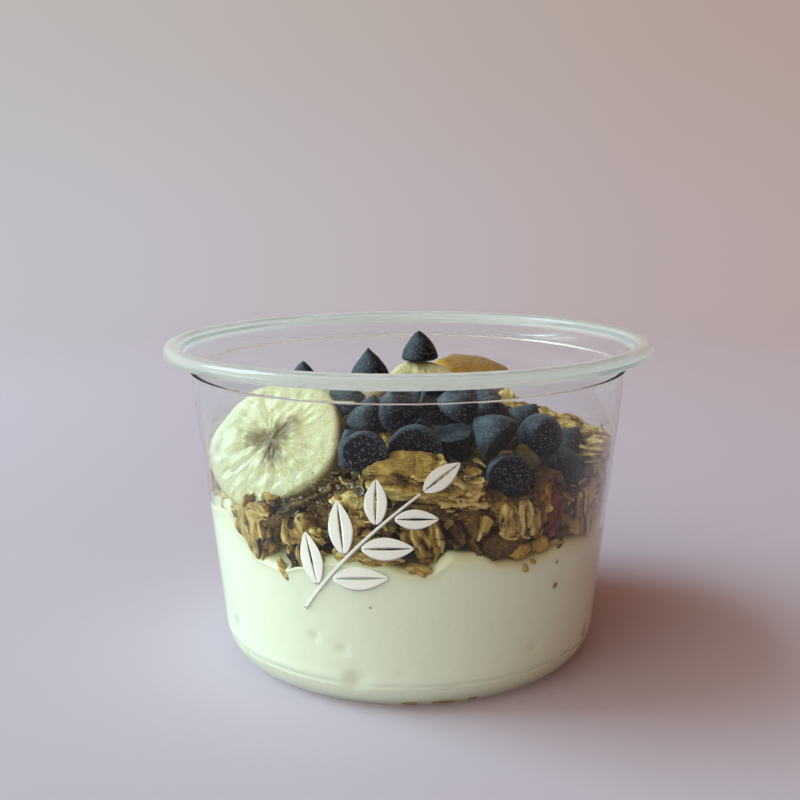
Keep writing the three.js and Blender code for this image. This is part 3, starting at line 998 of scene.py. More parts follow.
@dataclass
class Yogurt:
    """The set yogurt, which wets the cup's wall and floor."""

    cup: Cup
    level: float = 34.2
    bend: float = 26.0
    bite: float = 0.14
    shoulder: float = 2.0
    sides: int = 288

    # The thin line above the foot where the yogurt doesn't quite fill the heel.
    CREASE_HEIGHT = 6.3
    CREASE_WIDTH = 0.45
    CREASE_DEPTH = 0.28
    # Painted shade, as shares of the edge colour: on the heel below that line, and where air is shut in
    # against the wall.
    CREASE_SHADE = 0.18
    PIT_SHADE = 0.35

    # Where the yogurt stops on the wall: azimuth in degrees and height.
    EDGE_LINE = (
        (-180, 35.0), (-150, 33.0), (-120, 36.0), (-90, 37.5), (-70, 40.5), (-58, 42.5), (-50, 37.5),
        (-43, 32.2), (-34, 31.6), (-29, 33.2), (-20, 35.6), (-7, 35.4), (1, 33.2), (5, 33.4), (11, 37.2),
        (18, 36.6), (24, 33.8), (31, 32.9), (38, 33.4), (45, 34.6), (60, 33.8), (85, 35.5), (120, 33.5),
        (150, 36.0), (180, 35.0),
    )
    # Air that was shut in against the wall: azimuth, height, width and depth.
    PITS = (
        (-14.5, 7.0, 2.2, 0.9), (0.0, 1.2, 2.6, 1.6), (9.8, 1.3, 3.2, 1.8), (18.6, 1.5, 1.8, 1.2),
        (-26, 16.5, 1.0, 0.5), (-18, 14.5, 0.9, 0.5), (12, 5.8, 0.9, 0.5), (-3, 9.6, 0.7, 0.4),
        (36, 12.0, 1.0, 0.5), (-60, 12.0, 1.4, 0.6), (64, 8.0, 1.6, 0.7), (110, 14.0, 1.6, 0.7),
        (150, 6.0, 2.0, 0.9), (-120, 9.0, 1.8, 0.8), (-160, 18.0, 1.2, 0.6), (84, 22.0, 1.0, 0.5),
    )

    def edge_height(self, azimuth: float) -> float:
        """Where the yogurt stops on the wall, with a fine unevenness.

        Args:
            azimuth: In degrees.

        Returns:
            The height.
        """
        angle = math.radians(azimuth)
        uneven = fractal(Vector((math.sin(angle), math.cos(angle), 0.3)), 6.0, 3)
        return along_curve(self.EDGE_LINE, azimuth) + 0.35 * uneven

    def profile(self) -> Profile:
        """The section before it is made uneven.

        Returns:
            The section's points.
        """
        cup = self.cup
        floor = cup.floor_top - self.bite
        points = [(0.0, floor)]
        points += [(share * (cup.foot_radius - cup.wall), floor) for share in (0.3, 0.6, 0.85, 0.95)]
        centre = (cup.foot_radius - cup.wall, cup.heel_height)
        radii = (cup.heel_radius - cup.foot_radius, cup.heel_height - floor)
        points += arc(centre, radii, -90, 0, 36)
        rings = 30
        for i in range(1, rings + 1):
            height = cup.heel_height + (self.level - self.shoulder - cup.heel_height) * i / rings
            points.append((cup.inside(height), height))
        edge = cup.inside(self.level)
        points += arc((edge - self.shoulder, self.level - self.shoulder), (self.shoulder,) * 2, 10, 90, 8)
        points += [(edge * share, self.level) for share in (0.88, 0.8, 0.7, 0.6, 0.5, 0.4, 0.3, 0.2, 0.1)]
        return points + [(0.0, self.level)]

    def shape(self) -> Shape:
        """The yogurt as it lies in the cup.

        Returns:
            The shape.
        """
        bm = spun(self.profile(), self.sides)
        painted_shade_layer = bm.verts.layers.float.new(EDGE)
        full = self.cup.inside(self.level)
        for vert in bm.verts:
            place = vert.co
            azimuth = math.degrees(azimuth_of(place))
            reach = reach_of(place) / full
            # painted shade on the heel below the crease
            foot = smoothstep(self.CREASE_HEIGHT + 0.3, self.CREASE_HEIGHT - 0.7, place.z)
            vert[painted_shade_layer] = self.CREASE_SHADE * foot
            if place.z > self.bend:
                inwards = reach_of(place) - self.cup.inside(place.z)
                top = self.edge_height(azimuth)
                flat = self.level + 0.8 * fractal(place, 0.08, 3)
                top = flat + (top - flat) * smoothstep(0.7, 1.0, reach)
                rise = (place.z - self.bend) / (self.level - self.bend)
                # painted shade along the top edge, where the granola shades the yogurt
                vert[painted_shade_layer] = smoothstep(0.45, 1.0, rise) * smoothstep(0.9, 0.97, reach)
                place.z = self.bend + (top - self.bend) * rise
                if reach > 0.9:
                    draw_in(place, (self.cup.inside(place.z) + inwards) / (full * reach))
        for vert in bm.verts:
            # painted shade where air is shut in and the floor's shadow shows through
            pit_shade = self.press(vert.co)
            vert[painted_shade_layer] = max(vert[painted_shade_layer], self.PIT_SHADE * pit_shade)
        return bm

    def press(self, place: Vector) -> float:
        """Lets a place on the wall reach into it, except where air is shut in.

        Args:
            place: Changed in place.

        Returns:
            How near the middle of shut-in air it is, from 0 to 1.
        """
        reach = reach_of(place)
        if reach < self.cup.inside(place.z) - 0.05 or reach < 1:
            return 0.0
        azimuth = math.degrees(azimuth_of(place))
        inwards = self.CREASE_DEPTH * bell(place.z - self.CREASE_HEIGHT, self.CREASE_WIDTH)
        nearest = 0.0
        for at, height, width, depth in self.PITS:
            along = math.radians(azimuth - at) * reach
            closeness = bell(math.hypot(along, place.z - height), width)
            nearest = max(nearest, closeness)
            inwards = max(inwards, depth * closeness)
        moved = reach + self.bite - inwards
        draw_in(place, moved / reach)
        return nearest

    def build(self, material: Material) -> None:
        """Makes the yogurt."""
        finished("yogurt_set", self.shape(), material, ["yogurt"])


# --- banana ---


@dataclass
class BananaSlice:
    """One slice of banana, built in its own frame and laid where the CAD slice lies."""

    name: str
    radius: float
    face: Vector
    place: Vector
    spin: float
    thickness: float
    # how strongly the side colour is painted: its browning and painted shade
    browned_and_shaded: float
    seed: int
    soft: float = 1.3
    give: float = 0.9  # how gently it bends where it meets the wall
    sides: int = 120

    def profile(self) -> Profile:
        """The section of a plain slice.

        Returns:
            The section's points.
        """
        half = self.thickness / 2
        inner = self.radius - self.soft
        rings = 24
        points = [(inner * i / rings, -half) for i in range(rings)]
        points += arc((inner, self.soft - half), (self.soft, self.soft), -90, 0, 5)
        points += [(self.radius, height) for height in (-1.3, 0.0, 1.3)]
        points += arc((inner, half - self.soft), (self.soft, self.soft), 0, 90, 5)
        return points + [(inner * i / rings, half) for i in reversed(range(rings))]

    def relief(self, place: Vector) -> float:
        """How far a cut face stands out.

        Args:
            place: In the slice's own frame.

        Returns:
            The distance, in millimetres.
        """
        radius = reach_of(place)
        angle = math.atan2(place.y, place.x)
        lobe = max(math.cos(3 * angle), 0.0)
        pit = -0.7 * bell(radius - 2.4, 1.6) * lobe
        around = Vector((math.cos(angle) * 5, math.sin(angle) * 5, radius * 0.2 + self.seed))
        fibre = 0.28 * noise.fractal(around, 0.9, 2.0, 3) * smoothstep(1.0, 4.0, radius)
        torn = 0.22 * fractal(place + Vector((0, 0, self.seed * 9)), 0.5, 4)
        dome = 0.5 * (1 - (radius / self.radius) ** 2)
        return (pit + fibre + torn + dome) * smoothstep(self.radius, self.radius - 1.5, radius)

    def shape(self, cup: Cup) -> Shape:
        """The slice in its place, pressed against the wall where it meets it.

        Args:
            cup: The cup that it lies in.

        Returns:
            The shape.
        """
        bm = spun(self.profile(), self.sides)
        keep_local(bm, Vector((0, 0, self.seed * 40)))
        edge = bm.verts.layers.float.new(EDGE)
        half = self.thickness / 2
        for vert in bm.verts:
            place = vert.co
            angle = math.atan2(place.y, place.x)
            radius = reach_of(place)
            between = smoothstep(half - 0.15, half - 1.1, abs(place.z))
            side = between * smoothstep(0.8, 0.95, radius / self.radius)
            # the side gets its browning and painted shade
            vert[edge] = side * self.browned_and_shaded
            side_dent = 0.012 * fractal(place + Vector((self.seed * 5, 0, 0)), 0.35, 3)
            outline = 1 + 0.025 * math.cos(5 * angle) + 0.03 * math.cos(2 * angle + 0.7) + side_dent
            lift = math.copysign(self.relief(place), place.z) if abs(place.z) > half - 0.01 else 0.0
            vert.co = Vector((place.x * outline, place.y * outline, place.z + lift))
        bmesh.ops.transform(bm, matrix=standing(self.face, self.place, self.spin), verts=bm.verts)
        for vert in bm.verts:
            pressed = cup.press_soft(vert.co, self.give)
            vert[edge] *= 1 - smoothstep(0.0, 1.5, pressed)
        return bm


class Bananas:
    """The four slices of banana, and the glaze on the last."""

    RADIUS = 15.0
    # Node, direction of the upper face, size, spin, thickness, and how strongly its side is painted browned
    # and shaded.
    SLICES = (
        ("banana_slice_front", (-0.29, -0.725, 0.6225), 1.067, 0.55, 5.8, 0.75),
        ("banana_slice_middle", (-0.05, -0.1, 0.99), 0.76, 1.4, 8.0, 1.0),
        ("banana_slice_back", (0.04, -0.7, 0.71), 0.73, 2.1, 8.0, 0.6),
        ("banana_slice_glazed", (0.08, -0.16, 0.98), 0.66, 0.4, 8.0, 0.9),
    )
    FRONT_PLACE = Vector((-30.0, -19.9, 53.2))  # this one is pressed out of its round shape
    GLAZED_SHIFT = Vector((-2.6, 0, -0.4))
    GLAZE_HEIGHT = 2.9
    GLAZE_RINGS = (0.22, 0.4, 0.62, 0.85, 1.1, 1.35)  # angles up its dome, in radians

    def __init__(self, cup: Cup) -> None:
        """Finds the slices.

        Args:
            cup: The cup that they lie in.
        """
        self.cup = cup
        self.slices = []
        for seed, (name, face, size, spin, thickness, browned_and_shaded) in enumerate(self.SLICES):
            low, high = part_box(name)
            middle = (low + high) / 2 / MM
            if name == "banana_slice_front":
                middle = self.FRONT_PLACE
            if name == "banana_slice_glazed":
                middle += self.GLAZED_SHIFT
            sizes = (self.RADIUS * size, Vector(face), middle, spin, thickness, browned_and_shaded)
            self.slices.append(BananaSlice(name, *sizes, seed))

    def build(self, material: Material, glaze: Material) -> None:
        """Makes the slices and the glaze.

        Args:
            material: Cut banana.
            glaze: The glaze on the last slice.
        """
        for slice_ in self.slices:
            finished(slice_.name + "_cut", slice_.shape(self.cup), material, [slice_.name])
        self.build_glaze(self.slices[-1], glaze)

    def build_glaze(self, under: BananaSlice, material: Material) -> None:
        """Pours the glaze over a slice.

        Args:
            under: The slice.
            material: The glaze.
        """
        reach = under.radius + 0.4
        height = self.GLAZE_HEIGHT
        profile = [(0.0, -1.6), (reach * 0.8, -1.5)]
        profile += arc((reach * 0.86, -0.6), (reach * 0.14, 0.9), -90, 20, 6)
        profile += [(reach * math.cos(t), height * math.sin(t) ** 0.8) for t in self.GLAZE_RINGS]
        bm = spun(profile + [(0.0, height)], 72)
        edge = bm.verts.layers.float.new(EDGE)
        for vert in bm.verts:
            place = vert.co
            radius = reach_of(place)
            vert[edge] = smoothstep(0.55, 1.0, radius / reach)
            angle = math.atan2(place.y, place.x)
            run = 1 + 0.05 * math.sin(3 * angle + 1) + 0.04 * math.sin(7 * angle)
            dip = 0.35 * fractal(place, 0.16, 2) if place.z > 0 else 0.0
            vert.co = Vector((place.x * run, place.y * run, place.z + dip))
        top = under.place + under.face.normalized() * (under.thickness / 2)
        bmesh.ops.transform(bm, matrix=standing(under.face, top), verts=bm.verts)
        for vert in bm.verts:
            self.cup.keep_in(vert.co, -0.3)
        finished("glaze_amber", bm, material)


# --- chocolate drops ---


@dataclass
class Drop:
    """One chocolate drop: a flat base with a rounded edge, a domed side and a soft tip."""

    base: Vector
    axis: Vector
    radius: float
    height: float
    sharpness: float
    seed: int
    sides: int = 56

    FLAT_SHARE = 0.88
    MIDDLE_RING = 0.51  # height of the CAD drop's middle ring, as a share
    RINGS = 22
    FIRST_SEED = 100
    BLOOMED_AND_LIT = Vector((-0.6, -0.35, 0.7))  # the side that is painted lighter: the top, where bloom settles, and the window's side, as painted light
    BARE_FROM = 72.0  # the height from which drops get no bloom and no painted light, so that those above the rim stay dark as in shade

    @classmethod
    def of_node(cls, name: str, seed: int) -> "Drop":
        """Reads a drop's place and sizes off its CAD node.

        Args:
            name: The node.
            seed: Makes this drop's unevenness its own.

        Returns:
            The drop.
        """
        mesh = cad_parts[name].data
        areas: dict[tuple, float] = {}
        for face in mesh.polygons:
            key = tuple(round(part, 2) for part in face.normal)
            areas[key] = areas.get(key, 0.0) + face.area
        under = Vector(max(areas, key=areas.get)).normalized()
        flat = Vector()
        for face in mesh.polygons:
            if face.normal.dot(under) > 0.999:
                flat += face.normal * face.area
        axis = -flat.normalized()
        places = [vert.co / MM for vert in mesh.vertices]
        heights = [place.dot(axis) for place in places]
        low, high = min(heights), max(heights)
        ring = [place for place, at in zip(places, heights) if at < low + 0.05]
        tip = places[heights.index(high)]
        base = tip - axis * (high - low)
        flat_radius = max((place - base).length for place in ring)
        radius = flat_radius / cls.FLAT_SHARE
        shares = [(at - low) / (high - low) for at in heights]
        middle = [place for place, share in zip(places, shares) if abs(share - cls.MIDDLE_RING) < 0.05]
        across = max(((place - base) - axis * (place - base).dot(axis)).length for place in middle)
        slope = math.log(across / radius) / math.log(math.cos(cls.MIDDLE_RING * math.pi / 2))
        return cls(base, axis, radius, high - low, slope, seed)

    def profile(self) -> Profile:
        """The section, from the middle of the base round to the tip.

        Returns:
            The section's points.
        """
        flat = self.radius * 0.9
        points = [(0.0, 0.10), (flat * 0.4, 0.07), (flat * 0.8, 0.02), (flat * 0.93, 0.0), (flat, 0.03)]
        points += [(self.radius * 0.965, 0.16), (self.radius * 0.995, 0.42)]
        for i in range(1, self.RINGS):
            climb = 0.08 + 0.90 * i / (self.RINGS - 1)
            across = math.cos(climb * math.pi / 2) ** self.sharpness
            points.append((self.radius * across, self.height * climb))
        return points + [(0.0, self.height)]

    def shape(self) -> Shape:
        """The drop in its place.

        Returns:
            The shape.
        """
        bm = spun(self.profile(), self.sides)
        edge = bm.verts.layers.float.new(EDGE)
        rng = random.Random(self.FIRST_SEED + self.seed)
        lean = Vector((rng.uniform(-1, 1), rng.uniform(-1, 1), 0)) * 0.5
        shift = Vector((rng.uniform(0, 90), rng.uniform(0, 90), 0))
        for vert in bm.verts:
            place = vert.co
            climb = place.z / self.height
            radius = reach_of(place)
            # a ring at the base's rim, rubbed and painted as a highlight
            vert[edge] = bell(radius - self.radius * 0.97, self.radius * 0.06) * bell(climb, 0.08)
            swirl = 0.05 * math.sin(2 * math.atan2(place.y, place.x) + 7 * climb)
            uneven = 1 + 0.03 * fractal(place + shift, 0.25, 2) + swirl * smoothstep(0.5, 0.9, climb)
            bent = lean * smoothstep(0.6, 1.0, climb)
            vert.co = Vector((place.x * uneven, place.y * uneven, place.z)) + bent
        spin = rng.uniform(0, math.tau)
        bmesh.ops.transform(bm, matrix=standing(self.axis, self.base, spin), verts=bm.verts)
        bm.normal_update()
        bloom_and_light = bm.verts.layers.float.new(TONE)
        # bloom and painted light on the side that faces the window and up
        for vert in bm.verts:
            risen = smoothstep(0.22, 0.95, vert.normal.dot(self.BLOOMED_AND_LIT.normalized()))
            vert[bloom_and_light] = risen * smoothstep(self.BARE_FROM + 4.0, self.BARE_FROM, vert.co.z)
        return bm


class Drops:
    """The thirty chocolate drops."""

    COUNT = 30
    # How far some have settled away from their nodes, by their numbers.
    SHIFTS = {2: (0.3, -1.5, -0.5), 13: (0.8, 0, -2.4), 14: (0, 0, -1.2), 23: (0, 0, -2.2)}

    @classmethod
    def shift(cls, index: int) -> Vector:
        """How far a drop stands off its node."""
        return Vector(cls.SHIFTS.get(index, (0, 0, 0)))

    def build(self, material: Material) -> None:
        """Makes the drops, each its own piece.

        Args:
            material: Dark chocolate.
        """
        for index in range(1, self.COUNT + 1):
            node = f"chocolate_drop_{index:02d}"
            drop = Drop.of_node(node, index)
            drop.base += self.shift(index)
            finished(f"drop_{index:02d}", drop.shape(), material, [node])


# --- granola ---


def oat_layers(bm: Shape) -> tuple[bmesh.types.BMLayerItem, bmesh.types.BMLayerItem]:
    """Adds what the oats' finish reads: how light each vertex is, and in which layer it lies."""
    floats = bm.verts.layers.float
    return floats.new(TONE), floats.new(LAYER)


class Gathered:
    """Many small shapes gathered into one mesh."""

    def __init__(self) -> None:
        """Starts with nothing."""
        self.bm = bmesh.new()
        oat_layers(self.bm)

    def add(self, part: Shape) -> None:
        """Takes in a shape.

        Args:
            part: The shape, which is used up.
        """
        mesh = mesh_of(part, "part")
        self.bm.from_mesh(mesh)
        bpy.data.meshes.remove(mesh)

    def copy_in(self, template: bpy.types.Mesh, matrix: Matrix, tone: float) -> list[bmesh.types.BMVert]:
        """Adds a copy of a template.

        Args:
            template: What to copy.
            matrix: Its place, turn and size.
            tone: How light it is.

        Returns:
            The copy's vertices.
        """
        before = len(self.bm.verts)
        self.bm.from_mesh(template)
        self.bm.verts.ensure_lookup_table()
        verts = self.bm.verts[before:]
        layer = self.bm.verts.layers.float[TONE]
        for vert in verts:
            vert.co = matrix @ vert.co
            vert[layer] = tone
        return verts


@dataclass
class Spot:
    """A place on the heap, with the way out of it."""

    place: Vector
    out: Vector


def scattered(bm: Shape, count: int, apart: float, rng: random.Random) -> list[Spot]:
    """Places spread over a surface.

    Args:
        bm: The surface, of small even faces.
        count: How many places to try.
        apart: The least distance between two.
        rng: The random source.

    Returns:
        The places that were far enough apart.
    """
    faces = list(bm.faces)
    areas = [face.calc_area() for face in faces]
    spots: list[Spot] = []
    cells: dict[tuple, list[Vector]] = {}
    for face in rng.choices(faces, weights=areas, k=count):
        place = face.calc_center_median()
        cell = tuple(int(part // apart) for part in place)
        near = [
            other
            for i in (-1, 0, 1)
            for j in (-1, 0, 1)
            for k in (-1, 0, 1)
            for other in cells.get((cell[0] + i, cell[1] + j, cell[2] + k), ())
        ]
        if all((place - other).length > apart for other in near):
            cells.setdefault(cell, []).append(place)
            spots.append(Spot(place, face.normal.copy()))
    return spots


def is_near(place: Vector, others: Sequence[Vector], reach: float) -> bool:
    """Whether a place is nearer than a reach to any of some others."""
    return any((place - other).length < reach for other in others)


@dataclass(frozen=True)
class Strata:
    """The relief of baked oats: flakes pressed in layers, torn off at uneven depths."""

    axis: Vector  # across the layers
    seed: float
    layers: float = 0.85  # for each millimetre
    depth: float = 1.0

    def at(self, place: Vector) -> tuple[float, float, float]:
        """The relief at a place.

        Args:
            place: In millimetres.

        Returns:
            How far the surface stands out, how light it is there, and in which layer it is.
        """
        shift = Vector((self.seed, -self.seed, self.seed * 0.3))
        at = place + shift
        warp = 1.1 * noise.noise(at * 0.2) + 0.4 * noise.noise(at * 0.55)
        level = place.dot(self.axis) * self.layers + warp
        index = math.floor(level)
        step = level - index
        chance = noise.cell(Vector((index * 7.13, self.seed, 0.5)))
        torn = noise.noise(Vector((at.x * 0.38, at.y * 0.38, at.z * 0.38 + index * 3.7)))
        jut = 0.9 * (chance - 0.5) + 1.3 * torn + 0.45 * (1 - step ** 4)
        crumbs = fractal(at, 1.1, 4)
        hollow = max(noise.noise(at * 0.28 + Vector((31, 0, 0))) - 0.2, 0.0)
        height = self.depth * (jut + 0.14 * crumbs - 2.6 * hollow)
        edge = smoothstep(0.7, 0.1, step) * smoothstep(-0.3, 0.5, jut)
        # the oats' own crumbly tone and paler torn edges, with painted shade: darker in hollows, lighter
        # where the relief stands out
        light = 0.5 + 0.28 * (jut - 0.25) + 0.14 * crumbs + 0.24 * (edge - 0.4) - 1.6 * hollow
        return height, light, level


SETTLING = 4.5  # how far the right side of the heap has settled at its top
SETTLED_FROM, SETTLED_TO = 22.0, 40.0  # where it sets in and where it is full, to the right
SETTLED_LOW, SETTLED_HIGH = 48.0, 60.0  # and the same upwards


def settle(place: Vector) -> None:
    """Lowers a place at the right side of the heap."""
    across = smoothstep(SETTLED_FROM, SETTLED_TO, place.x)
    place.z -= SETTLING * across * smoothstep(SETTLED_LOW, SETTLED_HIGH, place.z)


class Flakes:
    """Templates of single oat flakes, copied many times into one mesh."""

    def __init__(self, count: int, rng: random.Random) -> None:
        """Makes the given number of different flakes."""
        self.meshes = [self.flake(rng) for _ in range(count)]

    def flake(self, rng: random.Random) -> bpy.types.Mesh:
        """One flake about 1 across: oval, curled, with a torn edge and a rough face.

        Args:
            rng: The random source.

        Returns:
            The flake.
        """
        bm = bmesh.new()
        bmesh.ops.create_grid(bm, x_segments=5, y_segments=4, size=0.5)
        seed = rng.uniform(0, 50)
        curl, twist = rng.uniform(0.15, 1.0), rng.uniform(-0.7, 0.7)
        for vert in bm.verts:
            x, y = vert.co.x * 2, vert.co.y * 2
            flat = Vector((x * math.sqrt(1 - y * y / 2), y * math.sqrt(1 - x * x / 2), 0)) / 2
            flat *= 1 + 0.45 * noise.noise(flat * 5 + Vector((seed, 0, 0)))
            rough = 0.13 * noise.noise(flat * 6 + Vector((0, seed, 0)))
            flat.z = curl * (flat.x ** 2) + twist * flat.x * flat.y + rough
            vert.co = flat
        bmesh.ops.solidify(bm, geom=bm.faces, thickness=rng.uniform(0.09, 0.17))
        bmesh.ops.recalc_face_normals(bm, faces=bm.faces)
        return mesh_of(bm, "flake")

    def lay(self, heap: Gathered, matrix: Matrix, rng: random.Random, tone: float, cup: Cup) -> None:
        """Adds one flake.

        Args:
            heap: What gathers the flakes.
            matrix: The flake's place, turn and size.
            rng: Picks the template.
            tone: How light it is.
            cup: What it lies in.
        """
        for vert in heap.copy_in(rng.choice(self.meshes), matrix, tone):
            settle(vert.co)
            cup.keep_in(vert.co, -0.05)


@dataclass
class Chunk:
    """A chunk of baked oats pressed against the wall."""

    azimuth: float
    height: float
    half: tuple[float, float, float]  # out, round and up
    lean: float
    layers_at: float  # the layers' turn from level, in degrees
    tone: float
    coarse: float = 1.0
    depth: float = 2.6
    bite: float = -0.02  # how far into the wall it may reach


class Granola:
    """The heap of granola: a core painted dark as shade, chunks of baked oats, loose flakes and crumbs."""

    CHUNKS = (
        Chunk(-46.5, 37.0, (3.4, 4.4, 6.6), 8, 78, 0.50),
        Chunk(-42.5, 42.8, (3.2, 3.4, 2.3), -20, 20, 0.56, 0.8),
        Chunk(-30.2, 40.2, (3.2, 3.3, 3.2), 4, 75, 0.62, 0.45, 2.4),
        Chunk(-29.4, 33.9, (3.0, 3.6, 3.2), -4, 82, 0.52, 0.5, 2.2),
        Chunk(-24.6, 39.2, (2.6, 1.9, 2.2), 0, 30, 0.74, 0.7),
        Chunk(-23.0, 33.6, (2.4, 2.2, 1.7), 10, 0, 0.66, 0.7),
        Chunk(-14.2, 44.6, (3.2, 4.4, 3.8), -18, 25, 0.70, 1.2),
        Chunk(-12.6, 39.2, (3.0, 4.8, 2.8), 6, 12, 0.58, 1.1),
        Chunk(-8.0, 35.9, (2.8, 5.2, 1.5), 3, 0, 0.56, 0.9, 2.2),
        Chunk(-16.5, 36.4, (2.4, 2.0, 1.6), 0, 10, 0.62, 0.8),
        Chunk(12.6, 51.6, (3.0, 4.2, 3.2), 10, 20, 0.58, 1.0, 3.4),
        Chunk(14.2, 46.8, (3.0, 4.9, 2.5), -12, 15, 0.66, 1.0, 2.6),
        Chunk(27.4, 43.6, (3.0, 3.3, 4.2), 0, 84, 0.64, 0.8, 2.4),
        Chunk(28.8, 38.9, (2.8, 3.6, 1.9), -8, 5, 0.60, 0.8, 2.2),
        Chunk(34.6, 42.4, (3.0, 2.0, 4.8), 2, 86, 0.30, 0.6, 3.4),
        Chunk(47.4, 44.6, (3.4, 3.2, 4.6), 0, 60, 0.48, 0.8, 3.0),
        Chunk(54.0, 40.6, (3.4, 4.6, 6.4), 0, 70, 0.58, 0.7, 2.6),
        Chunk(63.5, 57.6, (3.6, 3.8, 3.6), 10, 20, 0.88, 1.0, 3.2),
        Chunk(-55.5, 38.5, (3.2, 3.6, 3.0), 0, 40, 0.60, 0.9),
        Chunk(62.0, 48.5, (3.2, 3.8, 3.6), 0, 40, 0.60, 0.9),
    )
    # Crumbs that lie in the yogurt against the wall. The three at the foot, in the pits, are dark bits put
    # where the floor's shadow shows through the shut-in air: painted shade.
    CRUMBS = (
        Chunk(-34.3, 30.6, (0.7, 0.8, 3.0), -32, 60, 0.74, 0.2, 0.35, 0.3),
        Chunk(31.0, 31.4, (0.7, 1.0, 0.8), 20, 20, 0.70, 0.2, 0.35, 0.3),
        Chunk(33.6, 32.4, (0.7, 0.7, 0.5), 0, 50, 0.56, 0.15, 0.35, 0.3),
        Chunk(2.2, 33.0, (1.2, 2.4, 1.4), 8, 10, 0.62, 0.5, 0.9, 0.3),
        Chunk(42.3, 25.2, (0.5, 0.6, 0.75), 30, 0, 0.44, 0.1, 0.1, 0.3),
        Chunk(42.0, 30.8, (0.4, 0.4, 0.5), 0, 0, 0.54, 0.1, 0.1, 0.3),
        Chunk(-9.9, 24.9, (0.3, 0.3, 0.22), 0, 0, 0.12, 0.05, 0.1, 0.3),
        Chunk(-26.4, 23.5, (0.3, 0.35, 0.2), 0, 0, 0.30, 0.05, 0.1, 0.3),
        Chunk(96.0, 30.5, (0.7, 1.6, 0.9), 20, 20, 0.50, 0.25, 0.35, 0.3),
        Chunk(150.0, 29.5, (0.6, 0.8, 1.6), 30, 20, 0.46, 0.2, 0.35, 0.3),
        Chunk(0.0, 1.7, (0.5, 1.7, 0.4), 0, 0, 0.42, 0.1, 0.2, 0.1),
        Chunk(9.8, 1.7, (0.5, 2.6, 0.45), 0, 0, 0.42, 0.1, 0.2, 0.1),
        Chunk(18.6, 1.8, (0.5, 1.0, 0.4), 0, 0, 0.42, 0.1, 0.2, 0.1),
        Chunk(-118.0, 31.0, (0.7, 1.2, 0.8), 10, 20, 0.52, 0.2, 0.35, 0.3),
        Chunk(-166.0, 24.0, (0.4, 0.5, 0.5), 0, 0, 0.25, 0.1, 0.1, 0.3),
    )
    # The four largest clusters are CAD nodes: layers' turn, relief and tone of each.
    NODES = (
        ("granola_cluster_front", 12, 0.75, 0.60),
        ("granola_cluster_centre", 70, 0.9, 0.66),
        ("granola_cluster_right", 84, 0.8, 0.60),
        ("granola_cluster_edge", 40, 0.8, 0.66),
    )

    SEED = 7
    FLAKE_KINDS = 12
    SURFACE_GRAIN = 1.1  # the size of the faces of the heap's surface
    CLUSTER_GRAIN = 0.36
    CORE_DEPTH = 3.4
    CORE_RELIEF = 0.8
    # painted shade: the core is painted nearly black, for the shade in the gaps between chunks
    CORE_SHADE = 0.16
    CONTRAST = 1.3  # of the relief's light and dark: its own tone and painted shade
    CRUMB_CONTRAST = 0.35
    SHADE = 0.42  # how much darker a block is away from the wall
    HOLLOW_DEPTH = 3.0
    HOLLOW_REACH = 60.0  # in degrees to either side
    LARGE = 4.7  # half the size from which a chunk is divided more finely
    DROP_REACH = 5.2
    # Where the front shows the drops whole: azimuths, and the greatest height of a drop's middle.
    CLEAR_FROM = 15.0
    CLEAR_TO = 54.0
    CLEAR_BELOW = 60.0
    # Where nothing covers the front slice of banana: azimuths, least height and least radius.
    BANANA_FROM = -80.0
    BANANA_TO = -18.0
    BANANA_LOW = 44.0
    BANANA_REACH = 20.0
    TRIES = 6000  # of places for chunks, and of places for loose flakes
    CHUNK_GAP = 5.6  # between the middles of two chunks of the heap
    FLAKE_GAP = 3.0
    CHUNK_TO_WALL_CHUNK = 5.0
    CHUNK_TO_DROP = 7.0
    FLAKE_TO_DROP = 6.0

    def __init__(self, cup: Cup, material: Material) -> None:
        """Reads the heap.

        Args:
            cup: The cup that it lies in.
            material: Baked oats.
        """
        self.cup = cup
        self.material = material
        self.rng = random.Random(self.SEED)
        self.flakes = Flakes(self.FLAKE_KINDS, self.rng)
        self.surface = copy_of_node("granola", self.SURFACE_GRAIN)
        self.surface.normal_update()
        self.toppings = []
        for index in range(1, Drops.COUNT + 1):
            low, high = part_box(f"chocolate_drop_{index:02d}")
            self.toppings.append((low + high) / 2 / MM + Drops.shift(index))

    def core(self) -> None:
        """Makes the core: the CAD heap drawn in, with a crumbly surface, painted nearly black as the shade
        between the chunks.
        """
        bm = self.surface.copy()
        strata = Strata(Vector((0.2, 0.1, 0.97)), 3.0)
        displaced(bm, lambda place: -self.CORE_DEPTH + self.CORE_RELIEF * strata.at(place)[0])
        tones, levels = oat_layers(bm)
        for vert in bm.verts:
            _, light, level = strata.at(vert.co)
            vert[tones] = self.CORE_SHADE * light
            vert[levels] = level
            self.make_way(vert.co)
            self.cup.keep_in(vert.co, -0.4)
        finished("granola_core", bm, self.material, ["granola"])

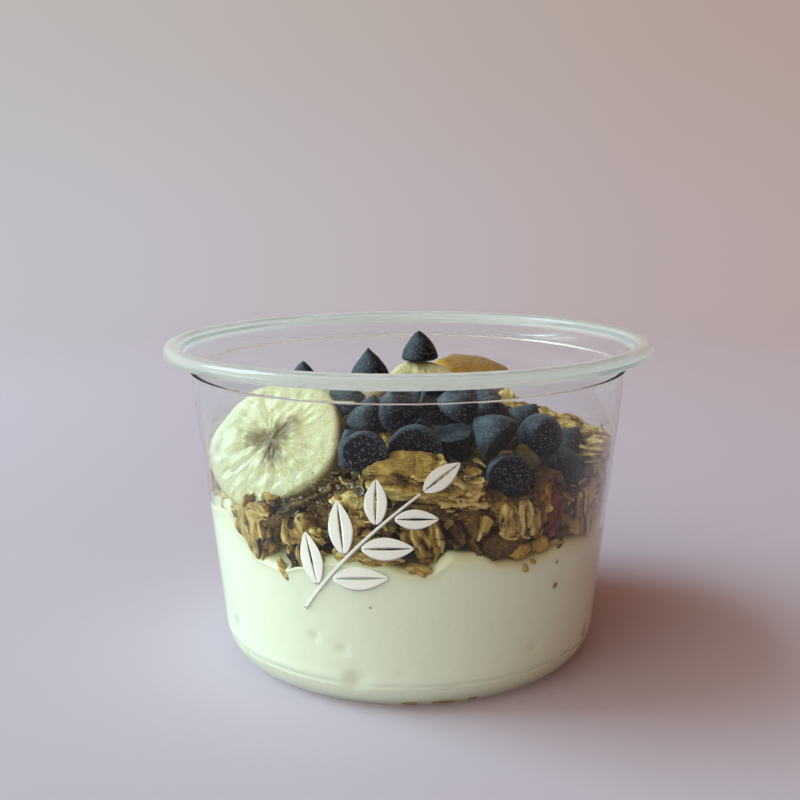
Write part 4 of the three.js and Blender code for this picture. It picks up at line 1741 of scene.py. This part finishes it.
    def block(
        self,
        matrix: Matrix,
        half: Sequence[float],
        strata: Strata,
        tone: float,
        fineness: int,
        bite: float = -0.02,
    ) -> Shape:
        """A rounded block of layered oats.

        Args:
            matrix: Its place and turn.
            half: Half its sizes.
            strata: Its relief.
            tone: How light it is.
            fineness: How often its ball is divided.
            bite: How far into the wall it may reach.

        Returns:
            The block, kept inside the wall.
        """
        bm = bmesh.new()
        bmesh.ops.create_icosphere(bm, subdivisions=fineness, radius=1.0)
        tones, levels = oat_layers(bm)
        middle = matrix.to_translation()
        for vert in bm.verts:
            unit = vert.co.copy()
            square = sum(abs(part) ** 4 for part in unit) ** -0.25
            sized = Vector((unit.x * half[1], unit.y * half[0], unit.z * half[2])) * (0.35 + 0.65 * square)
            bent = 1 + 0.22 * noise.noise(unit * 1.1 + Vector((strata.seed, 0, 0)))
            place = matrix @ (sized * bent)
            height, light, vert[levels] = strata.at(place)
            vert.co = place + (place - middle).normalized() * height
            self.make_way(vert.co)
            inwards = self.cup.inside(vert.co.z) - reach_of(vert.co)
            shade = 0.0 if bite > 0 else self.SHADE * smoothstep(0.5, 3.4, inwards)
            contrast = self.CRUMB_CONTRAST if bite > 0 else self.CONTRAST
            vert[tones] = tone + contrast * (light - 0.5) - shade
            self.cup.keep_in(vert.co, bite)
        return bm

    def wall_frame(self, azimuth: float, height: float, depth: float, lean: float) -> Matrix:
        """A frame at the wall: +X goes round it, -Y out through it and +Z up.

        Args:
            azimuth: In degrees.
            height: Above the foot.
            depth: How far in from the wall.
            lean: Its turn about the way out, in degrees.

        Returns:
            The frame.
        """
        middle = self.cup.on_wall(azimuth, height, depth)
        turn = Matrix.Rotation(math.radians(azimuth), 4, "Z")
        return Matrix.Translation(middle) @ (turn @ Matrix.Rotation(math.radians(lean), 4, "Y"))

    def chunk_block(self, chunk: Chunk, seed: float, fineness: int) -> tuple[Shape, Vector]:
        """One chunk in its place.

        Args:
            chunk: The chunk.
            seed: Makes its relief its own.
            fineness: How often its ball is divided.

        Returns:
            The shape and the direction across its layers.
        """
        matrix = self.wall_frame(chunk.azimuth, chunk.height, chunk.depth, chunk.lean)
        tilt = math.radians(chunk.layers_at)
        axis = (matrix.to_3x3() @ Vector((math.sin(tilt), 0.22, math.cos(tilt)))).normalized()
        strata = Strata(axis, seed, depth=chunk.coarse)
        return self.block(matrix, chunk.half, strata, chunk.tone, fineness, chunk.bite), axis

    def wall_chunks(self) -> None:
        """Makes the chunks that the front shows, with flakes that have come loose on them."""
        heap = Gathered()
        flakes = Gathered()
        for index, chunk in enumerate(self.CHUNKS):
            fineness = 6 if max(chunk.half) > self.LARGE else 5
            bm, axis = self.chunk_block(chunk, 5.0 + 3.7 * index, fineness)
            self.stick_flakes(flakes, bm, round(10 + 12 * chunk.coarse), chunk.tone, axis)
            heap.add(bm)
        finished("granola_chunks", heap.bm, self.material, smooth=False)
        finished("granola_husks", flakes.bm, self.material, smooth=False)
        crumbs = Gathered()
        for index, chunk in enumerate(self.CRUMBS):
            crumbs.add(self.chunk_block(chunk, 81.0 + 2.3 * index, 4)[0])
        finished("granola_crumbs", crumbs.bm, self.material)

    def stick_flakes(self, flakes: Gathered, bm: Shape, count: int, tone: float, axis: Vector) -> None:
        """Lays flakes that have come half loose on a chunk.

        Args:
            flakes: What gathers them.
            bm: The chunk.
            count: How many.
            tone: How light the chunk is.
            axis: Across the chunk's layers.
        """
        rng = self.rng
        bm.normal_update()
        for face in rng.sample(list(bm.faces), count):
            place = face.calc_center_median()
            stacked = rng.random() < 0.65
            out = axis + self.jitter(0.3) if stacked else face.normal + self.jitter(0.5)
            size = rng.uniform(2.0, 4.2)
            matrix = standing(out.normalized(), place - face.normal * 0.28 * size, rng.uniform(0, math.tau))
            stretch = Matrix.Diagonal((size, size * rng.uniform(0.6, 0.85), size * 0.7, 1))
            self.flakes.lay(flakes, matrix @ stretch, rng, tone + rng.uniform(-0.05, 0.3), self.cup)

    def is_hollow(self, place: Vector) -> bool:
        """Whether a place is at the front wall, where dark hollows show between the chunks."""
        near = self.cup.inside(place.z) - reach_of(place) < self.HOLLOW_DEPTH
        return near and abs(math.degrees(azimuth_of(place))) < self.HOLLOW_REACH

    def make_way(self, place: Vector) -> None:
        """Settles a place, and lowers it if it would hide a drop at the right of the front wall.

        Args:
            place: Changed in place.
        """
        settle(place)
        azimuth = azimuth_of(place)
        for drop in self.toppings:
            towards = azimuth_of(drop)
            if not self.CLEAR_FROM < math.degrees(towards) < self.CLEAR_TO or drop.z > self.CLEAR_BELOW:
                continue
            along = (azimuth - towards) * reach_of(place)
            if abs(along) < self.DROP_REACH:
                bottom = drop.z - math.sqrt(self.DROP_REACH ** 2 - along ** 2)
                if bottom < place.z < drop.z + self.DROP_REACH:
                    place.z = bottom + 0.12 * (place.z - bottom)

    def is_banana(self, place: Vector) -> bool:
        """Whether a place is before the front slice of banana, which nothing covers."""
        is_beside = self.BANANA_FROM < math.degrees(azimuth_of(place)) < self.BANANA_TO
        return is_beside and place.z > self.BANANA_LOW and reach_of(place) > self.BANANA_REACH

    def jitter(self, reach: float) -> Vector:
        """A small uneven vector."""
        return Vector([self.rng.uniform(-reach, reach) for _ in range(3)])

    def heap_chunks(self) -> None:
        """Makes the chunks of the rest of the heap, all round and on top."""
        heap = Gathered()
        rng = self.rng
        taken = [self.cup.on_wall(chunk.azimuth, chunk.height, chunk.depth) for chunk in self.CHUNKS]
        for spot in scattered(self.surface, self.TRIES, self.CHUNK_GAP, rng):
            if spot.out.z < -0.45 or is_near(spot.place, taken, self.CHUNK_TO_WALL_CHUNK):
                continue
            if is_near(spot.place, self.toppings, self.CHUNK_TO_DROP):
                continue
            if self.is_hollow(spot.place) or self.is_banana(spot.place):
                continue
            half = sorted(rng.uniform(1.9, 4.3) for _ in range(3))
            up = spot.out + self.jitter(0.5)
            matrix = standing(up, spot.place - spot.out * half[0] * 0.9, rng.uniform(0, math.tau))
            axis = (spot.out + self.jitter(1.2)).normalized()
            strata = Strata(axis, rng.uniform(0, 90), depth=rng.uniform(0.5, 1.0))
            tone = rng.uniform(0.38, 0.72) + 0.42
            heap.add(self.block(matrix, (half[1], half[2], half[0]), strata, tone, 4))
        finished("granola_heap", heap.bm, self.material, smooth=False)

    def skin(self, place: Vector, out: Vector) -> float:
        """How far the front cluster's smooth brown skin covers a place: its top, on the left.

        Args:
            place: On the cluster.
            out: The way out of it there.

        Returns:
            From 0 to 1.
        """
        uneven = 1.2 * fractal(place, 0.25, 3)
        across = smoothstep(7.0, 3.5, place.x + uneven)
        return across * smoothstep(53.2, 54.6, place.z + uneven) * smoothstep(-0.3, 0.1, out.z)

    def clusters(self) -> None:
        """Makes the four largest clusters out of their CAD nodes."""
        for index, (name, layers_at, depth, tone) in enumerate(self.NODES):
            bm = copy_of_node(name, self.CLUSTER_GRAIN)
            tones, levels = oat_layers(bm)
            tilt = math.radians(layers_at)
            middle = sum((vert.co for vert in bm.verts), Vector()) / len(bm.verts)
            turn = Matrix.Rotation(azimuth_of(middle), 3, "Z")
            axis = (turn @ Vector((math.sin(tilt), 0.25, math.cos(tilt)))).normalized()
            strata = Strata(axis, 21.0 + 5 * index, depth=depth)
            bm.normal_update()
            for vert in bm.verts:
                height, light, vert[levels] = strata.at(vert.co)
                light = tone + self.CONTRAST * (light - 0.5)
                if index == 0:
                    skin = self.skin(vert.co, vert.normal)
                    height += (0.3 * fractal(vert.co, 0.4, 3) - height) * skin
                    light += (0.34 + 0.12 * fractal(vert.co, 0.3, 3) - light) * skin
                    light += 0.45 * smoothstep(5.0, 8.5, vert.co.x) * smoothstep(55.5, 57.5, vert.co.z)
                vert[tones] = light
                vert.co += vert.normal * (height - 0.2)
                self.make_way(vert.co)
                self.cup.keep_in(vert.co, -0.02)
            finished(name + "_baked", bm, self.material, [name], smooth=False)

    def loose(self) -> None:
        """Makes the loose flakes over the heap."""
        heap = Gathered()
        rng = self.rng
        for spot in scattered(self.surface, self.TRIES, self.FLAKE_GAP, rng):
            if spot.out.z < -0.5 or (self.is_hollow(spot.place) and rng.random() < 0.75):
                continue
            if self.is_banana(spot.place) or is_near(spot.place, self.toppings, self.FLAKE_TO_DROP):
                continue
            away = spot.out + self.jitter(rng.choice((0.35, 0.9, 1.8)))
            size = rng.uniform(2.4, 5.0)
            place = spot.place - spot.out * rng.uniform(0.4, 2.2)
            stretch = Matrix.Diagonal((size, size * rng.uniform(0.55, 0.8), size * 0.8, 1))
            matrix = standing(away, place, rng.uniform(0, math.tau)) @ stretch
            self.flakes.lay(heap, matrix, rng, rng.uniform(0.35, 0.85), self.cup)
        finished("granola_flakes", heap.bm, self.material, smooth=False)

    def build(self) -> None:
        """Makes the whole heap."""
        self.core()
        self.wall_chunks()
        self.heap_chunks()
        self.clusters()
        self.loose()


# --- fruit and seed ---


class Fruit:
    """The raisins and the seed, each out of its CAD node."""

    def __init__(self, cup: Cup) -> None:
        """Takes the cup that they lie in."""
        self.cup = cup

    def piece(self, node: str, material: Material, slot: Slot, wrinkle: float) -> None:
        """Makes one fruit.

        Args:
            node: Its CAD node.
            material: Its finish.
            slot: Not used.
            wrinkle: How deep its wrinkles are.
        """
        bm = copy_of_node(node, 0.3)
        smoothed(bm)

        def folds(place: Vector) -> float:
            """How far the wrinkled skin stands out at a place."""
            ridge = 1 - abs(noise.noise(Vector((place.x, place.y, place.z * 0.45)) * 0.6)) * 2
            return -wrinkle * max(ridge, 0.0) ** 3 + 0.2 * wrinkle * fractal(place, 0.9, 3)

        displaced(bm, folds)
        for vert in bm.verts:
            self.cup.keep_in(vert.co, 0.05)
        finished(node + "_dried", bm, material, [node])

    def build(self) -> None:
        """Makes them all."""
        dark = DriedFruit("raisin_dark", (0.06, 0.006, 0.002), (0.22, 0.04, 0.004)).build()
        golden = DriedFruit("raisin_golden", (0.32, 0.18, 0.018), (0.55, 0.37, 0.06)).build()
        seed = DriedFruit("seed_olive", (0.11, 0.09, 0.028), (0.2, 0.17, 0.06), 0.4).build()
        self.piece("raisin_dark", dark, Slot.RAISIN, 0.7)
        self.piece("raisin_golden_low", golden, Slot.FRUIT, 0.3)
        self.piece("raisin_golden_side", golden, Slot.FRUIT, 0.3)
        self.piece("pumpkin_seed", seed, Slot.SEED, 0.15)


@dataclass(frozen=True)
class AmberFlesh:
    """The ribbed amber flesh of dried fruit, behind the dark raisin."""

    azimuth: float = 41.0
    height: float = 44.4
    half: tuple[float, float, float] = (2.4, 5.6, 5.6)
    depth: float = 3.7

    def build(self, granola: Granola, material: Material) -> None:
        """Makes the piece.

        Args:
            granola: Shapes it as it shapes a chunk.
            material: Its finish.
        """
        chunk = Chunk(self.azimuth, self.height, self.half, 2.0, 86.0, 0.5, 0.55, self.depth)
        bm, _ = granola.chunk_block(chunk, 64.0, 6)
        finished("fruit_amber", bm, material)


# --- print and moisture ---


@dataclass(frozen=True)
class Leaf:
    """One printed leaf."""

    along: float  # where it leaves the stem, from 0 to 1
    lean: float  # from the stem's direction, in degrees
    length: float
    width: float


@dataclass
class Sprig:
    """A plain sprig of leaves, printed in white ink on the front of the cup."""

    cup: Cup
    azimuth: float = -11.5
    height: float = 40.5
    lift: float = 0.03  # of the ink over the wall
    thickness: float = 0.02
    rib: float = 0.24  # half the bare line along a leaf
    stem_width: float = 1.0

    STEM = ((-13.5, 21.0, 5.0), (-17.5, 31.0, -3.5))  # across and up: its start, slope and bend
    LEAVES = (
        Leaf(0.16, 48, 12.5, 5.2),
        Leaf(0.26, -46, 12.5, 5.4),
        Leaf(0.42, 46, 12.5, 5.4),
        Leaf(0.52, -44, 11.5, 5.2),
        Leaf(0.68, 44, 10.5, 4.8),
        Leaf(0.78, -42, 9.5, 4.4),
        Leaf(0.99, 0, 10.0, 4.6),
    )

    def stem(self, share: float) -> Vector:
        """A place along the stem, flat, from the print's middle."""
        x, y = (start + slope * share + bend * share * share for start, slope, bend in self.STEM)
        return Vector((x, y, 0))

    def heading(self, share: float) -> Vector:
        """The stem's direction."""
        return (self.stem(share + 0.01) - self.stem(share - 0.01)).normalized()

    def half_leaf(self, leaf: Leaf, side: int) -> Shape:
        """The ink on one side of a leaf's bare rib, flat.

        Args:
            leaf: The leaf.
            side: 1 or -1.

        Returns:
            The shape.
        """
        bm = bmesh.new()
        bmesh.ops.create_grid(bm, x_segments=22, y_segments=5, size=0.5)
        turn = Matrix.Rotation(math.radians(leaf.lean), 3, "Z")
        forward = turn @ self.heading(leaf.along)
        across = Vector((-forward.y, forward.x, 0)) * side
        start = self.stem(leaf.along) + forward * 1.0
        for vert in bm.verts:
            share = 0.03 + 0.94 * (vert.co.x + 0.5)
            half = leaf.width / 2 * math.sin(math.pi * share ** 0.85) ** 0.75
            out = self.rib * math.sin(math.pi * share) + max(half - self.rib, 0.05) * (vert.co.y + 0.5)
            vert.co = start + forward * (leaf.length * share) + across * out
        return bm

    def stalk(self) -> Shape:
        """The ink of the stem, flat and narrower towards its end.

        Returns:
            The shape.
        """
        bm = bmesh.new()
        bmesh.ops.create_grid(bm, x_segments=48, y_segments=2, size=0.5)
        for vert in bm.verts:
            share = vert.co.x + 0.5
            heading = self.heading(share)
            width = self.stem_width * (1 - 0.45 * share)
            vert.co = self.stem(share) + Vector((-heading.y, heading.x, 0)) * vert.co.y * width
        return bm

    def build(self, material: Material) -> None:
        """Makes the print and wraps it round the wall.

        Args:
            material: White ink.
        """
        ink = Gathered()
        ink.add(self.stalk())
        for leaf in self.LEAVES:
            for side in (-1, 1):
                ink.add(self.half_leaf(leaf, side))
        bm = ink.bm
        for vert in bm.verts:
            height = self.height + vert.co.y
            radius = self.cup.outside(height)
            azimuth = self.azimuth + math.degrees(vert.co.x / radius)
            vert.co = round_axis(radius + self.lift, azimuth, height)
        bmesh.ops.solidify(bm, geom=bm.faces, thickness=self.thickness)
        bmesh.ops.recalc_face_normals(bm, faces=bm.faces)
        finished("print_sprig", bm, material)


@dataclass
class Dew:
    """Clear drops of moisture on the inside of the wall."""

    cup: Cup
    seed: int = 23
    mist: int = 170  # the number of the smallest drops
    mist_azimuth: Pair = (-19, 6)  # their middle and spread
    mist_height: Pair = (49.5, 4.0)
    mist_low: float = 41.0
    mist_high: float = 62.0

    # Azimuth, height and radius of the larger drops.
    BEADS = (
        (-11.6, 50.8, 0.95), (-9.4, 49.6, 0.95), (-12.9, 48.6, 0.8), (-8.3, 51.6, 0.6), (-13.8, 51.9, 0.55),
        (-10.6, 47.6, 0.5), (-15.2, 49.6, 0.5), (-7.2, 49.2, 0.45), (-16.8, 51.4, 0.4), (-18.8, 48.2, 0.45),
        (-21.5, 50.6, 0.35), (13.5, 53.4, 0.5), (12.2, 55.6, 0.4), (-28.6, 44.2, 0.4), (70.0, 56.0, 0.6),
        (96.0, 52.0, 0.7), (131.0, 57.0, 0.6), (-124.0, 55.0, 0.7), (-140.0, 52.0, 0.6), (172.0, 55.0, 0.7),
    )

    def bead(self, azimuth: float, height: float, radius: float) -> Shape:
        """One drop, flattened against the wall.

        Args:
            azimuth: In degrees.
            height: Above the foot.
            radius: Of the drop.

        Returns:
            The shape.
        """
        bm = bmesh.new()
        bmesh.ops.create_icosphere(bm, subdivisions=2 if radius < 0.4 else 3, radius=radius)
        bmesh.ops.scale(bm, vec=(1.0, 0.5, 1.1), verts=bm.verts)
        turn = Matrix.Rotation(math.radians(azimuth), 4, "Z")
        middle = self.cup.on_wall(azimuth, height, 0.3 * radius)
        bmesh.ops.transform(bm, matrix=Matrix.Translation(middle) @ turn, verts=bm.verts)
        for vert in bm.verts:
            self.cup.keep_in(vert.co, 0.02)
        return bm

    def build(self, material: Material) -> None:
        """Makes the drops, with a fine mist over the dark hollow beside the banana.

        Args:
            material: Moisture.
        """
        rng = random.Random(self.seed)
        drops = Gathered()
        for azimuth, height, radius in self.BEADS:
            drops.add(self.bead(azimuth, height, radius))
        for _ in range(self.mist):
            azimuth = rng.gauss(*self.mist_azimuth)
            height = min(max(rng.gauss(*self.mist_height), self.mist_low), self.mist_high)
            drops.add(self.bead(azimuth, height, rng.uniform(0.08, 0.2)))
        finished("dew", drops.bm, material)


# --- stage ---


@dataclass
class Studio:
    """The floor, the light and the camera. Lengths are in millimetres."""

    floor_radius: float = 6000.0
    fade_start: float = 150.0
    fade_end: float = 900.0
    far_start: float = 100.0  # where the floor turns to its far colour
    far_end: float = 500.0
    floor_colour: Colour = (0.53, 0.465, 0.565)
    floor_far: Colour = (0.55, 0.485, 0.60)
    backdrop_low: Colour = (0.52, 0.46, 0.47)
    backdrop_high: Colour = (0.49, 0.42, 0.385)
    # painted light on the backdrop: brighter and cooler on the window's side, darker and warmer on the
    # other
    lit_backdrop_left: Colour = (1.04, 1.16, 1.24)
    shaded_backdrop_right: Colour = (0.88, 0.78, 0.74)
    window_azimuth: float = -97.0
    window_height: float = 40.0
    lamp_size: float = 620.0
    lamp_away: float = 1200.0
    lamp_aim: float = 30.0  # the height that the lamp faces
    lamp_watts: float = 12.2
    lamp_colour: Colour = (0.58, 0.91, 1.0)
    glow_azimuth: float = -62.0
    glow_height: float = 20.0
    glow_spread: float = 3.2
    glow_colour: Colour = (0.82, 0.91, 0.79)
    glow_tail: Colour = (1.8, 0.80, 0.30)
    glow_strength: float = 2.8
    room_colour: Colour = (2.7, 0.95, 0.34)
    room_strength: float = 0.075
    room_mirrored: float = 0.25  # how much of the room the plastic mirrors
    paper_diffuse: float = 0.10  # how much of the backdrop lights the bowl
    paper_mirrored: float = 1.25  # how much of it the plastic mirrors
    paper_before: float = 0.25  # how much of it there is before the bowl
    camera_reach: float = 252.1
    camera_rise: float = 7.46
    aim_height: float = 76.0
    turn: float = 0.45
    dip: float = -3.57
    roll: float = 0.36
    focal_pixels: float = 1030.0
    picture_width: float = 800.0

    def build(self) -> None:
        """Sets the stage."""
        self.make_floor()
        self.make_lamp()
        self.make_world()
        self.make_camera()

    def towards(self, azimuth: float, height: float) -> Vector:
        """The direction to an azimuth and a height above the floor, both in degrees."""
        rise = math.radians(height)
        return round_axis(math.cos(rise), azimuth, math.sin(rise))

    def make_floor(self) -> None:
        """A pale floor that fades into the backdrop far behind the bowl."""
        bm = bmesh.new()
        bmesh.ops.create_circle(bm, cap_ends=True, segments=64, radius=self.floor_radius * MM)
        mesh = mesh_of(bm, "floor")
        shader = Shader("floor")
        place = shader.place()
        mottle = shader.noise(place, 0.02, 3)
        near = shader.blend(mottle, self.floor_colour, lit(self.floor_colour, 0.97))
        away = shader.add("VectorMath", {0: place}, operation="LENGTH").outputs["Value"]
        colour = shader.blend(shader.stretch(away, self.far_start, self.far_end), near, self.floor_far)
        paper = shader.principled(Base_Color=colour, Roughness=0.7, Specular_IOR_Level=0.2)
        fade = shader.stretch(away, self.fade_start, self.fade_end)
        clear = shader.add("BsdfTransparent").outputs[0]
        mesh.materials.append(shader.done(shader.mixed(fade, paper, clear)))
        floor = in_scene("floor", mesh)

    def make_lamp(self) -> None:
        """The window itself: a soft square lamp, which the plastic mirrors."""
        data = bpy.data.lights.new("window", "AREA")
        data.size = self.lamp_size * MM
        data.energy = self.lamp_watts
        data.color = self.lamp_colour
        lamp = in_scene("window", data)
        away = self.towards(self.window_azimuth, self.window_height)
        lamp.location = (away * self.lamp_away + Vector((0, 0, self.lamp_aim))) * MM
        lamp.rotation_mode = "QUATERNION"
        lamp.rotation_quaternion = (-away).to_track_quat("-Z", "Y")
        lamp.visible_camera = False

    def make_world(self) -> None:
        """A dim warm room, bright and cool towards the window, with pale paper behind the bowl, painted
        brighter on the window's side.
        """
        world = bpy.data.worlds.new("room")
        world.use_nodes = True
        tree = world.node_tree
        tree.nodes.clear()
        shader = Shader.of_tree(tree)
        direction = shader.add("TexCoord").outputs["Object"]
        split = shader.add("SeparateXYZ", {0: direction})
        glow = self.towards(self.glow_azimuth, self.glow_height)
        towards = shader.add("VectorMath", {0: direction, 1: glow}, operation="DOT_PRODUCT")
        facing = shader.most(towards.outputs["Value"], 0.0)
        bright = shader.times(shader.math("POWER", facing, self.glow_spread), self.glow_strength)
        tone = shader.blend(shader.stretch(facing, 0.1, 0.75), self.glow_tail, self.glow_colour)
        window = shader.dimmed(tone, bright)
        room = lit(self.room_colour, self.room_strength)
        path = shader.add("LightPath")
        glossy = path.outputs["Is Glossy Ray"]
        shade = shader.dimmed(room, shader.math("MULTIPLY_ADD", glossy, self.room_mirrored - 1, 1.0))
        light = shader.add("VectorMath", {0: window, 1: shade}, operation="ADD").outputs[0]
        up = shader.stretch(split.outputs["Z"], -0.05, 0.2)
        risen = shader.blend(up, self.backdrop_low, self.backdrop_high)
        # painted light: the backdrop brighter and cooler on the window's side
        aside = shader.stretch(split.outputs["X"], -0.5, 0.5)
        across = shader.blend(aside, self.lit_backdrop_left, self.shaded_backdrop_right)
        backdrop = shader.blend(1.0, risen, across, "MULTIPLY")
        mirrored = shader.times(glossy, self.paper_mirrored - self.paper_diffuse)
        share = shader.plus(mirrored, self.paper_diffuse)
        behind = shader.stretch(split.outputs["Y"], -0.7, 0.1, self.paper_before, 1.0)
        share = shader.times(share, behind)
        paper = shader.dimmed(backdrop, share)
        light = shader.add("VectorMath", {0: light, 1: paper}, operation="ADD").outputs[0]
        seen = shader.most(path.outputs["Is Camera Ray"], path.outputs["Is Transmission Ray"])
        colour = shader.add("Mix", {0: seen}, data_type="RGBA")
        tree.links.new(light, colour.inputs[6])
        tree.links.new(backdrop, colour.inputs[7])
        background = shader.add("Background", {"Color": colour.outputs[2], "Strength": 1.0})
        shader.add("OutputWorld", {"Surface": background.outputs[0]})
        bpy.context.scene.world = world

    def make_camera(self) -> None:
        """The camera, which looks a little down into the bowl."""
        rise = math.radians(self.camera_rise)
        forward = Vector((0, math.cos(rise), -math.sin(rise)))
        place = Vector((0, 0, self.aim_height)) - forward * self.camera_reach
        right = Vector((1, 0, 0))
        up = right.cross(forward)
        turn = Quaternion(up, math.radians(self.turn))
        forward, right = turn @ forward, turn @ right
        dip = Quaternion(right, math.radians(self.dip))
        forward, up = dip @ forward, dip @ up
        roll = Quaternion(forward, math.radians(self.roll))
        right, up = roll @ right, roll @ up
        data = bpy.data.cameras.new("camera")
        data.sensor_width = 36.0
        data.lens = self.focal_pixels / self.picture_width * data.sensor_width
        data.clip_start = 0.01
        data.clip_end = 10.0
        camera = in_scene("camera", data)
        turned = Matrix((right, up, -forward)).transposed().to_4x4()
        camera.matrix_world = Matrix.Translation(place * MM) @ turned
        bpy.context.scene.camera = camera


def main() -> None:
    """Builds the bowl and its stage."""
    bpy.context.scene.view_settings.view_transform = "Standard"
    Studio().build()
    cup = Cup()
    cup.build(ClearPlastic().build())
    Yogurt(cup).build(SetYogurt().build())
    Bananas(cup).build(CutBanana().build(), HoneyGlaze().build())
    Drops().build(DarkChocolate().build())
    granola = Granola(cup, BakedOats().build())
    granola.build()
    Fruit(cup).build()
    amber = DriedFruit("flesh_amber", (0.26, 0.10, 0.004), (0.60, 0.39, 0.06))
    AmberFlesh().build(granola, amber.build())
    Sprig(cup).build(WhiteInk().build())
    Dew(cup).build(Moisture().build())


if __name__ == "__main__":
    logging.basicConfig(level=logging.INFO, format="%(name)s: %(message)s")
    main()
